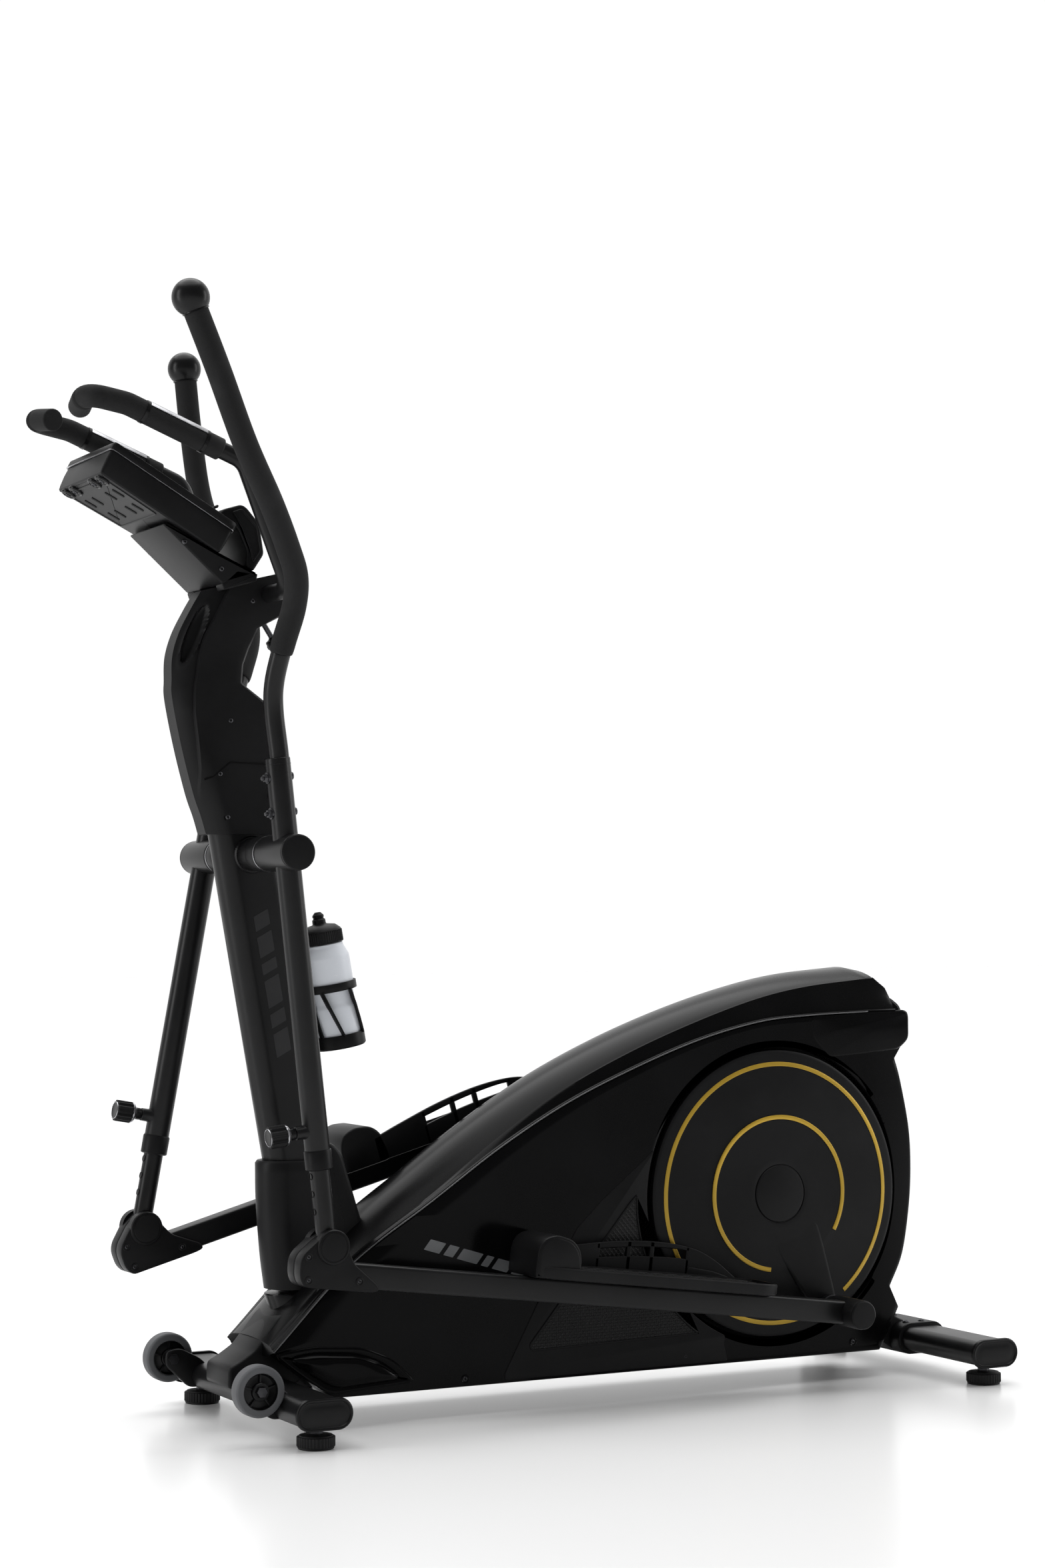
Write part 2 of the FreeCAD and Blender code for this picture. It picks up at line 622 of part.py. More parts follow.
def moved_in(points, inset):
    """The corners of a clockwise outline moved inwards by the same distance from each of its edges."""
    moved = []
    for index, (x, z) in enumerate(points):
        normals = []
        for a, b in ((points[index - 1], (x, z)), ((x, z), points[(index + 1) % len(points)])):
            length = math.hypot(b[0] - a[0], b[1] - a[1])
            normals.append(((b[1] - a[1]) / length, (a[0] - b[0]) / length))
        (ax, az), (bx, bz) = normals
        share = inset / (1 + ax * bx + az * bz)
        moved.append((x + (ax + bx) * share, z + (az + bz) * share))
    return moved


def straight_edges(points):
    return [Part.LineSegment(Vector(a[0], 0, a[1]), Vector(b[0], 0, b[1])).toShape() for a, b in zip(points, points[1:])]


def side_outline(inset=0.0):
    """The shroud's side as a closed wire in y = 0: a curved back, a lip, a bulging tail and a flat sole."""
    points = moved_in(PANEL_EDGE + TAIL_LIP + TAIL + SOLE, inset)
    back_end, tail_start = len(PANEL_EDGE), len(PANEL_EDGE) + len(TAIL_LIP)
    tail_end = tail_start + len(TAIL)
    edges = [side_curve(points[:back_end]).toShape()] + straight_edges(points[back_end - 1:tail_start + 1])
    edges += [side_curve(points[tail_start:tail_end]).toShape()] + straight_edges(points[tail_end - 1:] + points[:1])
    return Part.Wire(edges)


def vent_outline(inset=0.0):
    """The vent: a slanted front edge, a sole and a rear edge that follows the disc's well."""
    ring = float(d["well_size"]) + 19 + inset
    top, foot, sole = (572, 301 - inset), (389 + inset * 1.6, 86 + inset), 84 + inset

    def on_ring(z):
        return (CRANK.x - math.sqrt(ring ** 2 - (z - CRANK.z) ** 2), z)

    high, low = on_ring(top[1]), on_ring(sole)
    middle = on_ring((high[1] + low[1]) / 2)
    arc = Part.Arc(Vector(high[0], 0, high[1]), Vector(middle[0], 0, middle[1]), Vector(low[0], 0, low[1]))
    corners = [low, (foot[0], sole), foot, (top[0] - 2, top[1]), high]
    return Part.Wire([arc.toShape()] + straight_edges(corners))


def prism(wire, low, high):
    face = Part.Face(wire)
    face.translate(Vector(0, low, 0))
    return face.extrude(Vector(0, high - low, 0))


def shroud_half(hand):
    """One moulded side shell: a flat wall with a return all round, a round well and a vent window."""
    half, wall = float(d["shroud_half"]), float(d["wall"])
    shell = prism(side_outline(), -half, -0.1).cut(prism(side_outline(wall), wall - half, 5))
    shell = shell.cut(Part.makeCylinder(d["well_size"], 30, CRANK - Y_AXIS * (half + 10), Y_AXIS))
    shell = shell.cut(prism(vent_outline(), -half - 5, wall - half + 5))
    shell = shell.cut(side_slab([(-60, 60), (-60, 420), (210, 420), (210, 300), (170, 44.8), (40, 44.8)], -46, 1))
    shell = shell.cut(Part.makeBox(90, 26, 64, Vector(990, -25.3, 44.9)))
    shell = max(shell.Solids, key=lambda solid: solid.Volume)
    return subpart("shroud_" + hand, shape("shroud_" + hand, on_side(shell, SIDES[hand])))


def crown_section(index, inset):
    """One cross-section of the crown: steep bands up to the ridges, then shallow slopes to a flat top."""
    x, edge = PANEL_EDGE[index]
    half = float(d["shroud_half"]) - inset
    low, shoulder, top = edge + 0.3, edge + RIDGE_LIFT[index] - inset, edge + CROWN_LIFT[index] - inset
    shoulder, top = max(shoulder, low + 1), max(top, low + 2)
    left = [(-half, low), (-half + 15, shoulder), (-half + 45, top - 2)]
    corners = left + [(-y, z) for y, z in reversed(left)]
    return Part.makePolygon([Vector(x, y, z) for y, z in corners + corners[:1]])


def shroud_crown():
    """The long arched spine cover, cut round the mast's fairing, with a collar over the tail."""
    half, wall = float(d["shroud_half"]), float(d["wall"])
    count = len(PANEL_EDGE)
    arch = Part.makeLoft([crown_section(index, 0) for index in range(1, count)], True, True)
    hollow = Part.makeLoft([crown_section(index, wall) for index in range(1, count - 1)], True, True)
    x, edge = PANEL_EDGE[-1]
    back = side_slab([(x - 2, edge + 0.3), (x - 2, edge + 62), (x + 22, edge + 60), (1060, 600), (1082, 584), (1084, 577.3)],
                     15 - half, half - 15)
    collar = side_slab([(905, 573.6), (1010, 577.4), (1084.4, 577.4), (1086.4, 529), (1094, 528), (1094, 574), (1066, 600),
                        (930, 600)], -half, half)
    crown = arch.cut(hollow).fuse([back, collar])
    crown = crown.cut(side_slab([(-60, 60), (-60, 420), (184, 420), (184, 200), (120, 60)], -46.3, 46.3))
    crown = crown.cut(prism(side_outline(-0.3), -half - 1, half + 1))
    crown = max(crown.Solids, key=lambda solid: solid.Volume)
    return subpart("shroud_crown", shape("shroud_crown", crown))


def vent_grilles():
    half = float(d["shroud_half"])
    panels = []
    for hand, side in SIDES.items():
        panel = prism(vent_outline(0.4), 0.6 - half, 2.6 - half)
        panels.append(shape("vent_" + hand, on_side(panel, side)))
    return several("vent_grilles", panels)


# ---------------------------------------------------------------- mast covers
SLEEVE = [(7, 187), (-1, 247), (0, 374), (92, 401), (119, 386), (160, 264), (176, 240), (140, 187)]


def mast_envelope(grow):
    """The mast's outside, grown a little, for the covers to clear."""
    deep, wide = float(d["mast_deep"]) + 2 * grow, float(d["mast_wide"]) + 2 * grow
    start, finish = (mast_x(70), 0, 70), (mast_x(MAST_TOP + 5), 0, MAST_TOP + 5)
    return Part.Face(oval_wire(deep, wide, *start)).extrude(Vector(*finish) - Vector(*start))


def rounded(slab, radius, low, high):
    """Round the upright edges of a slab's two sides within a span of X."""
    edges = []
    for edge in slab.Edges:
        middle = edge.CenterOfMass
        if abs(middle.y) > 5 and low < middle.x < high and abs(edge.BoundBox.YLength) < 1e-6:
            edges.append(edge)
    return slab.makeFillet(radius, edges)


def mast_sleeve():
    """A boot round the mast's foot that runs back into the shroud as a fairing."""
    outer = rounded(side_slab(SLEEVE, -38, 38), 14, -5, 3.5)
    inner = side_slab([(11, 180), (3, 247), (4, 370), (90, 397), (116, 383), (156, 264), (172, 240), (138, 180)], -34.5, 34.5)
    inner = rounded(inner, 11, -1, 7.5)
    sleeve = outer.cut(inner).cut(mast_envelope(0.3))
    return subpart("mast_sleeve", shape("mast_sleeve", sleeve))


def mast_base_cover():
    """A sloping cover from the front tube up to a cup below the mast's boot."""
    outer = [(-52, 72), (-50, 88), (-20, 110), (15, 143), (14, 186), (138, 186), (150, 150), (150, 98), (44, 98), (42, 72)]
    inner = [(-48, 60), (-47, 86), (-18, 106), (19, 141), (18, 200), (134, 200), (146, 150), (146, 90), (36, 90), (36, 60)]
    cover = side_slab(outer, -45.5, 45.5).cut(side_slab(inner, -42.5, 42.5)).cut(mast_envelope(0.3))
    cover = cover.cut([Part.makeBox(112, 80, 60, Vector(38, -40, 38)), Part.makeBox(120, 71, 14, Vector(20, -35.5, 84))])
    cover = max(cover.Solids, key=lambda solid: solid.Volume)
    return subpart("mast_base_cover", shape("mast_base_cover", cover))


HEAD_FRONT = [(-86, 849), (-106, 908), (-124, 975), (-138, 1042), (-139, 1088), (-128, 1138), (-94, 1200)]
HEAD_REST = [(-94, 1200), (-38, 1218), (30, 1231), (34, 1172), (-8, 1150), (-30, 1112), (-38, 1072), (4, 1034), (14, 950),
             (30, 849), (-86, 849)]


def head_outline(inset=0.0):
    points = moved_in(HEAD_FRONT + HEAD_REST[1:-1], inset)
    count = len(HEAD_FRONT)
    return Part.Wire([side_curve(points[:count]).toShape()] + straight_edges(points[count - 1:] + points[:1]))


def mast_head(hand):
    """One half of the cover over the mast's top, open below, with a hole for the handlebar."""
    half, wall = 40.0, float(d["wall"])
    shell = prism(head_outline(), -half, -0.1).cut(prism(head_outline(wall), wall - half, 5))
    shell = shell.cut(side_slab([(-84, 840), (-84, 860), (20, 860), (20, 840)], wall - half, 5))
    shell = shell.cut(mast_envelope(0.3))
    seat = Part.makeCylinder(16, 60, Vector(BAR_SEAT[0], -50, BAR_SEAT[1]), Y_AXIS)
    shell = shell.cut(seat).cut(Part.makeCylinder(7.5, 60, KNOB_BASE, Vector(*KNOB_WAY) * -1))
    shell = shell.cut(side_slab(moved_in(MAST_NECK[::-1], -0.3), -22.3, 22.3))
    shell = max(shell.Solids, key=lambda solid: solid.Volume)
    node = "mast_head_" + hand
    return subpart(node, shape(node, on_side(shell, SIDES[hand])))


# ---------------------------------------------------------------- console
TILT = math.radians(28)
FACE = Vector(math.sin(TILT), 0, math.cos(TILT))
DOWN_FACE = Vector(math.cos(TILT), 0, -math.sin(TILT))
CONSOLE_TOP = Vector(-254, 0, 1393)


def on_face(run, lift):
    """A point (x, z) a distance down the console's face and above it."""
    point = CONSOLE_TOP + DOWN_FACE * run + FACE * lift
    return (point.x, point.z)


def tapered_slab(outline, high_half, low_half, run):
    """A side outline given the console's width, narrowing towards its lower end."""
    slab = side_slab(outline, -high_half, high_half)
    wedge_top, wedge_low = CONSOLE_TOP - DOWN_FACE * 60, CONSOLE_TOP + DOWN_FACE * run
    lean = (high_half - low_half) / run
    for side in SIDES.values():
        near = [wedge_top + Y_AXIS * side * (high_half + lean * 60), wedge_low + Y_AXIS * side * low_half]
        corner = [near[0], near[1], near[1] + DOWN_FACE * 200 - Y_AXIS * side * lean * 200]
        far = [point + Y_AXIS * side * 200 for point in (corner[2], corner[0])]
        cutter = polygon_face([tuple(point - FACE * 200) for point in (corner[0], corner[2], far[0], far[1])])
        slab = slab.cut(cutter.extrude(FACE * 400))
    return slab


def console_parts():
    """A back tub, a bezel with a sunken display and a bay for the keys, and a rest for a tablet."""
    tub = [on_face(2, -12.2), on_face(214, -12.2), on_face(222, -30), on_face(212, -50), on_face(24, -50), on_face(2, -40)]
    back = tapered_slab(tub, 95, 74, 230)
    back = back.cut(tapered_slab([on_face(5, -5), on_face(210, -5), on_face(217, -30), on_face(209, -46.5),
                                  on_face(26, -46.5), on_face(5.5, -38)], 91.5, 70.5, 230))
    subpart("console_back", shape("console_back", back))
    bezel = tapered_slab([on_face(0, 0), on_face(218, 0), on_face(221, -12), on_face(0, -12)], 99, 78, 230)
    window = tapered_slab([on_face(14, -2.5), on_face(118, -2.5), on_face(118, 20), on_face(14, 20)], 82, 66, 230)
    bezel = bezel.cut(window)
    for name, (run, y) in KEYS.items():
        x, z = on_face(run, -20)
        bezel = bezel.cut(Part.makeCylinder(KEY_SIZE + GAP, 40, Vector(x, y, z), FACE))
    subpart("console_bezel", shape("console_bezel", bezel))
    for name, (run, y) in KEYS.items():
        x, z = on_face(run, -9)
        profile = [(0, 0), (KEY_SIZE, 0), (KEY_SIZE, 10), (KEY_SIZE - 1.5, 12), (0, 12)]
        subpart(name, turned(name, profile, (x, y, z), FACE))


KEY_SIZE = 8.0
KEYS = {"key_mode": (150, 0.0), "key_up": (150, 38.0), "key_down": (150, -38.0)}


def tablet_holder():
    """A lipped ledge across the console's lower edge."""
    lip = [on_face(178, 0.2), on_face(192, 24), on_face(208, 26), on_face(236, 8), on_face(238, -14), on_face(222.5, -12),
           on_face(219, 0.2)]
    groove = [on_face(187, 3), on_face(198, 21), on_face(204, 21), on_face(208, 3)]
    ledge = side_slab(lip, -62, 62).cut(side_slab(groove, -80, 80))
    return subpart("tablet_holder", shape("tablet_holder", ledge))


def console_neck():
    """The wedge between the mast head and the console's back."""
    foot, crest = (-93, 1201.5), on_face(112, -50.8)
    outline = [foot, (-38, 1219), (-28, 1221.5), on_face(213, -50.8), crest, (crest[0] - 8, crest[1] - 3)]
    block_neck = side_slab(outline, -70, 70)
    return subpart("console_neck", shape("console_neck", block_neck))


# ---------------------------------------------------------------- fixed handlebar
def bar_corners(side):
    """The handlebar's corners on one side, from its seat to the turned-in tip."""
    x, z = BAR_SEAT
    return [(x, 0, z), (x - 4, side * 122, z - 2), (-72, side * 123, 1374), (-246, side * 123, 1442),
            (-306, side * 121, 1452), (-293, side * 60, 1444)]


BAR_BENDS = [34, 32, 60, 30]
KNOB_BASE = Vector(24, 0, 1136)
KNOB_WAY = Vector(-0.55, 0, 0.835)


def fixed_handlebar():
    """One bent tube: two halves meet at the seat under the console."""
    halves = [swept(bent_path(bar_corners(side), BAR_BENDS), 12.5) for side in SIDES.values()]
    return subpart("fixed_handlebar", shape("fixed_handlebar", halves[0].fuse(halves[1])))


def handlebar_grips():
    """Foam over the forward run and the turned-in tip of each side."""
    grips = []
    for hand, side in SIDES.items():
        corners = [Vector(*corner) for corner in bar_corners(side)]
        start = corners[2] + (corners[3] - corners[2]) * 0.2
        route = [start, corners[3], corners[4], corners[5] + (corners[5] - corners[4]).normalize() * 4]
        bends = [BAR_BENDS[2], BAR_BENDS[3]]
        inner = swept(bent_path([start - (corners[3] - start).normalize() * 3] + [corners[3], corners[4], corners[5]
                                + (corners[5] - corners[4]).normalize() * 0.1], bends), 12.6)
        grips.append(shape("grip_" + hand, swept(bent_path(route, bends), 16.2).cut(inner)))
    return several("handlebar_grips", grips)


def pulse_sensors():
    """A curved metal plate laid on the upper inside of each grip."""
    plates = []
    for hand, side in SIDES.items():
        corners = [Vector(*corner) for corner in bar_corners(side)]
        way = (corners[3] - corners[2]).normalize()
        start = corners[2] + way * 52
        aside = Y_AXIS * -side
        lift = way.cross(aside) * side
        middle = (lift + aside * 0.35).normalize()
        shell = Part.makeCylinder(17.6, 92, start, way).cut(Part.makeCylinder(16.5, 92, start, way))
        box = Part.makeBox(60, 30, 92, Vector(-30, 6, 0))
        box.Placement = Placement(start, Rotation(middle.cross(way), middle, way, "ZYX"))
        plates.append(shape("sensor_" + hand, shell.common(box).Solids[0]))
    return several("pulse_sensors", plates)


def clamp_knob():
    """The T-shaped knob whose screw clamps the handlebar in its seat."""
    grip = turned("knob_grip", [(0, -20), (10, -20), (12, -14), (12, 0), (6, 2), (4, 4), (4, 26), (0, 26)], KNOB_BASE, KNOB_WAY)
    cross = rod("knob_bar", 6.5, 44, KNOB_BASE - KNOB_WAY * 10, Y_AXIS)
    return subpart("clamp_knob", joined("clamp_knob", [grip, cross]))


# ---------------------------------------------------------------- bottle
BOTTLE_FOOT = Vector(131, 0, 541)
LEAN = math.radians(10.3)
BOTTLE_UP = Vector(-math.sin(LEAN), 0, math.cos(LEAN))


def bottle():
    """A squeeze bottle: hollow body with two waist grooves, a screw cap and a pull spout."""
    size, tall = d["bottle_size"], d["bottle_tall"] - 30
    body = [(0, 2), (size - 5, 2), (size, 7), (size, 60), (size - 2.5, 66), (size - 2.5, 84), (size, 90), (size, tall - 12),
            (size - 6, tall), (size - 6, tall + 6), (size - 7.5, tall + 6), (size - 7.5, tall), (size - 1.5, tall - 12),
            (size - 1.5, 90), (size - 4, 84), (size - 4, 66), (size - 1.5, 60), (size - 1.5, 8), (size - 6, 4), (0, 4)]
    subpart("bottle_body", turned("bottle_body", body, BOTTLE_FOOT, BOTTLE_UP))
    base = tall + 6.2
    cap = [(0, base), (size - 4.5, base), (size - 4.5, base + 20), (size - 12, base + 27), (10, base + 29), (10, base + 36),
           (8, base + 37), (8, base + 44), (5, base + 47), (0, base + 47)]
    subpart("bottle_cap", turned("bottle_cap", cap, BOTTLE_FOOT, BOTTLE_UP))


def bottle_cage():
    """A cup with slanted side windows, carried on a pad that is screwed to the mast's back."""
    inner, outer, tall = float(d["bottle_size"]) + 0.6, float(d["bottle_size"]) + 3.6, 96
    cup = Part.makeCylinder(outer, tall, Vector(0, 0, -2)).cut(Part.makeCylinder(inner, tall, Vector(0, 0, 1)))
    for side in SIDES.values():
        window = polygon_face([(-14, side * 10, 22), (30, side * 10, 30), (-14, side * 10, 74)]).extrude(Vector(0, side * 60, 0))
        cup = cup.cut(window)
    cup = cup.cut(side_slab([(10, 96), (60, 96), (60, 52), (34, 60)], -60, 60))
    pad = Part.makeBox(28, 24, 84, Vector(-62, -12, 4)).cut(Part.makeCylinder(inner + 1, tall, Vector(0, 0, -1)))
    cage = cup.fuse(pad)
    cage.Placement = Placement(BOTTLE_FOOT, turn_to(BOTTLE_UP))
    cage = cage.cut(mast_envelope(0.1))
    cage = max(cage.Solids, key=lambda solid: solid.Volume)
    return subpart("bottle_cage", shape("bottle_cage", cage))


# ---------------------------------------------------------------- swinging arms
def arm_frame(hand):
    """Turn a point given along the arm (back, out, up from the pivot) into the machine's frame."""
    side, lean = SIDES[hand], LINKS[hand][2]
    turn = Rotation(Y_AXIS, -lean)

    def place(back, out, up):
        return HUB + turn.multVec(Vector(back, side * out, up))
    return place


def arm(hand):
    """The outer tube with its pivot hub, a collar at its foot and a boss for the pull pin."""
    side, place = SIDES[hand], arm_frame(hand)
    out, tube = float(d["arm_out"]), float(d["arm_tube"])
    top, foot = place(0, out, 134), place(0, out, -float(d["sleeve_end"]))
    way = (top - foot).normalize()
    length = (top - foot).Length
    pipe = Part.makeCylinder(tube, length, foot, way)
    hub = Part.makeCylinder(26, 102, Vector(HUB.x, side * 93.5, HUB.z), Y_AXIS * side)
    cap = Part.makeCylinder(24.5, 3.2, Vector(HUB.x, side * 195.5, HUB.z), Y_AXIS * side)
    pin = place(0, out, -float(d["pin_drop"]))
    forward = (place(-1, out, 0) - place(0, out, 0)).normalize()
    boss = Part.makeCylinder(9, 16, pin + forward * (tube - 3), forward)
    solid = pipe.fuse([hub, cap, boss])
    solid = solid.cut(Part.makeCylinder(15, length - 4, foot - way, way))
    solid = solid.fuse(Part.makeCylinder(25.9, 102, Vector(HUB.x, side * 93.5, HUB.z), Y_AXIS * side))
    solid = solid.cut(Part.makeCylinder(12.5 + RUNNING, 100, Vector(HUB.x, side * 86, HUB.z), Y_AXIS * side))
    solid = solid.cut(Part.makeCylinder(4 + RUNNING, 60, pin, forward))
    solid = solid.cut(Part.makeCylinder(14.1, 100, place(0, out, 36), way))
    return subpart("arm_" + hand, shape("arm_" + hand, solid))


def handle_corners(hand, start_up):
    place, out = arm_frame(hand), float(d["arm_out"])
    return [place(0, out, start_up), place(0, out, 222), place(39, 224, 374), place(-60, 294, 562), place(-119, 301, 756)]


HANDLE_BENDS = [110, 80, 170]


def handle(hand):
    """The bent upper tube, flared outwards, clamped in the arm's top."""
    tube = swept(bent_path(handle_corners(hand, 38), HANDLE_BENDS), d["handle_tube"])
    return subpart("handle_" + hand, shape("handle_" + hand, tube))


def grip(hand):
    """A foam sleeve over the handle and a ball-shaped end cap, as two solids."""
    corners = handle_corners(hand, 38)
    start = corners[1] + (corners[2] - corners[1]) * 0.36
    way = (corners[2] - corners[1]).normalize()
    end_way = (corners[4] - corners[3]).normalize()
    stop = corners[4] - end_way * 17
    foam = swept(bent_path([start, corners[2], corners[3], stop], HANDLE_BENDS[1:]), d["grip_size"])
    foam = foam.cut(swept(bent_path([start - way * 3, corners[2], corners[3], stop + end_way * 3], HANDLE_BENDS[1:]),
                          d["handle_tube"] + 0.1))
    ball = Part.makeSphere(d["ball_size"], corners[4])
    cut_off = Part.makeCylinder(60, 60, stop + end_way * 0.2, end_way * -1)
    ball = ball.cut(cut_off).cut(Part.makeCylinder(d["handle_tube"] + 0.1, 17.2, stop, end_way))
    return several("grip_" + hand, [shape("foam_" + hand, foam), shape("ball_" + hand, ball)])


def leg(hand):
    """The telescoping inner tube, with a row of pin holes and an eye at its foot."""
    place, out = arm_frame(hand), float(d["arm_out"])
    drop, radius = float(d["arm_drop"]), float(d["leg_tube"])
    eye_at, top = place(0, out, -drop), place(0, out, -330)
    way = (top - eye_at).normalize()
    tube = Part.makeCylinder(radius, (top - eye_at).Length, eye_at, way)
    tube = tube.cut(Part.makeCylinder(radius - 2, 300, eye_at + way * 26, way))
    eye = Part.makeCylinder(18.3, 30, eye_at - Y_AXIS * 15, Y_AXIS)
    solid = tube.fuse(eye).cut(Part.makeCylinder(8 + RUNNING, 60, eye_at - Y_AXIS * 30, Y_AXIS))
    forward = (place(-1, out, 0) - place(0, out, 0)).normalize()
    for step in range(-2, 3):
        hole_at = place(0, out, -float(d["pin_drop"]) + step * 25)
        solid = solid.cut(Part.makeCylinder(4.3, 30, hole_at, forward))
    return subpart("leg_" + hand, shape("leg_" + hand, solid))


def pull_knob(hand):
    """A ribbed pull knob on a pin; the pin's nose stops just short of the leg."""
    place, out = arm_frame(hand), float(d["arm_out"])
    pin = place(0, out, -float(d["pin_drop"]))
    forward = (place(-1, out, 0) - place(0, out, 0)).normalize()
    profile = [(0, 15), (4, 15), (4, 32), (8, 32), (8, 42), (11, 42), (16, 45), (16, 70), (14, 73), (0, 73)]
    return subpart("pull_knob_" + hand, turned("pull_knob_" + hand, profile, pin, forward))


# ---------------------------------------------------------------- pedal bars
def bar_frame(hand):
    """Along the bar from the pin hub forwards (run), across (out) and up, in the machine's frame."""
    side, (pin, knee, lean) = SIDES[hand], LINKS[hand]
    front = knee - Z_AXIS * float(d["bar_sag"])
    way = (front - pin).normalize()
    up = Vector(0, 0, 1) - way * way.z
    up.normalize()

    def place(run, out, lift):
        return pin + way * run + up * lift + Y_AXIS * (side * out)
    return place, way, up


def bar_slab(hand, outline, low, high):
    """A solid with an outline in the bar's own plane between two distances out."""
    place = bar_frame(hand)[0]
    face = polygon_face([tuple(place(run, low, lift)) for run, lift in outline])
    return face.extrude(Y_AXIS * (SIDES[hand] * (high - low)))


def pedal_bar(hand):
    """A rectangular tube with two ears and a bolt at the knee, and the pin hub at its rear end."""
    side, (pin, knee, lean) = SIDES[hand], LINKS[hand]
    tall, wide, out = float(d["bar_tall"]) / 2, float(d["bar_wide"]) / 2, float(d["arm_out"])
    span = (knee - Z_AXIS * float(d["bar_sag"]) - pin).Length
    tube = bar_slab(hand, [(16, -tall), (16, tall), (span + 34, tall), (span + 40, -tall)], out - wide, out + wide)
    tube = tube.cut(bar_slab(hand, [(30, 2.5 - tall), (30, tall - 2.5), (span + 60, tall - 2.5), (span + 60, 2.5 - tall)],
                             out - wide + 2.5, out + wide - 2.5))
    hub_long = float(d["pin_hub_out"] - d["pin_hub_in"])
    hub = Part.makeCylinder(d["pin_hub"], hub_long, Vector(pin.x, side * d["pin_hub_in"], pin.z), Y_AXIS * side)
    cap = Part.makeCylinder(d["pin_hub"] - 1.5, 3, Vector(pin.x, side * d["pin_hub_out"], pin.z), Y_AXIS * side)
    place = bar_frame(hand)[0]
    knee_up = float(d["bar_sag"])
    ears = []
    for low in (out - 20.5, out + 16.5):
        ear = bar_slab(hand, [(span - 30, -tall), (span + 26, -tall), (span + 18, knee_up), (span - 18, knee_up)], low, low + 4)
        eye = Part.makeCylinder(19, 4, Vector(knee.x, side * low, knee.z), Y_AXIS * side)
        ears.append(ear.fuse(eye))
    bolt = Part.makeCylinder(8, 49, Vector(knee.x, side * (out - 24.5), knee.z), Y_AXIS * side)
    packing = bar_slab(hand, [(span - 30, -tall), (span + 26, -tall), (span + 26, tall), (span - 30, tall)], out - 16.6, out + 16.6)
    packing = packing.cut(bar_slab(hand, [(span - 40, -tall - 1), (span + 46, -tall - 1), (span + 46, tall + 1), (span - 40, tall + 1)],
                                   out - wide + 0.1, out + wide - 0.1))
    solid = tube.fuse([hub, cap, bolt, packing] + ears)
    return subpart("pedal_bar_" + hand, shape("pedal_bar_" + hand, solid))


def knuckle(hand):
    """Two plastic half shells over the knee, with a round cap each and a blunt nose in front."""
    side, (pin, knee, lean) = SIDES[hand], LINKS[hand]
    out, tall = float(d["arm_out"]), float(d["bar_tall"]) / 2
    span = (knee - Z_AXIS * float(d["bar_sag"]) - pin).Length
    knee_up = float(d["bar_sag"])
    outline = [(span + 46, 3 - tall), (span + 44, tall + 3), (span + 22, tall + 6), (span - 8, tall + 16), (span - 26, tall + 8),
               (span - 66, -tall + 4), (span - 66, -tall - 3), (span + 40, -tall - 3)]
    halves = []
    for low, high in ((out - 27, out - 0.15), (out + 0.15, out + 27)):
        shell = bar_slab(hand, outline, low, high)
        face = low if low < out - 1 else high - 6
        shell = shell.fuse(Part.makeCylinder(25, 6, Vector(knee.x, side * face, knee.z), Y_AXIS * side))
        keep = bar_slab(hand, [(-10, -tall - 0.3), (span + 41, -tall - 0.3), (span + 41, tall + 0.3), (-10, tall + 0.3)],
                        out - wide_clear(), out + wide_clear())
        room = bar_slab(hand, [(span - 40, -tall - 0.3), (span + 41, -tall - 0.3), (span + 41, 90), (span - 40, 90)], out - 20.8, out + 20.8)
        shell = shell.cut(keep).cut(room)
        shell = shell.cut(Part.makeCylinder(8.2, 49.6, Vector(knee.x, side * (out - 24.8), knee.z), Y_AXIS * side))
        halves.append(shape("knuckle%s%d" % (hand, len(halves)), max(shell.Solids, key=lambda solid: solid.Volume)))
    return several("knuckle_" + hand, halves)


def wide_clear():
    return float(d["bar_wide"]) / 2 + 0.3


def pedal(hand):
    """A long foot plate with a rounded toe wall in front and a slotted guard along its inner edge."""
    place = bar_frame(hand)[0]
    tall = float(d["bar_tall"]) / 2
    span = 895.0
    front = span - float(d["pedal_back"])
    back = front - float(d["pedal_long"])
    inner, outer = float(d["pedal_in"]), float(d["pedal_out"])
    low, top = tall + 0.2, tall + 20
    tray = bar_slab(hand, [(back, low), (front, low), (front, top), (back + 4, top - 2)], inner, outer)
    tray = tray.cut(bar_slab(hand, [(back + 8, top - 5), (front - 60, top - 5), (front - 60, top + 9), (back + 8, top + 9)],
                             inner + 6, outer - 6))
    toe = bar_slab(hand, [(front, low), (front - 4, low + 29), (front - 14, low + 38), (front - 30, low + 40),
                          (front - 52, low + 34), (front - 62, low + 24), (front - 64, low)], inner, outer)
    toe = toe.cut(bar_slab(hand, [(front - 16, top), (front - 20, low + 32), (front - 90, low + 44), (front - 90, top)],
                           inner + 6, outer - 8))
    guard = bar_slab(hand, [(front - 6, low), (front - 8, low + 32), (front - 90, low + 45), (front - 200, low + 52),
                            (front - 300, low + 49), (front - 372, low + 28), (back, low + 14), (back, low)], inner, inner + 6)
    slot = [(front - 180, low + 30), (front - 186, low + 41), (front - 292, low + 39), (front - 300, low + 26)]
    guard = guard.cut(bar_slab(hand, slot, inner - 2, inner + 9))
    solid = tray.fuse([toe, guard])
    return subpart("pedal_" + hand, shape("pedal_" + hand, solid))


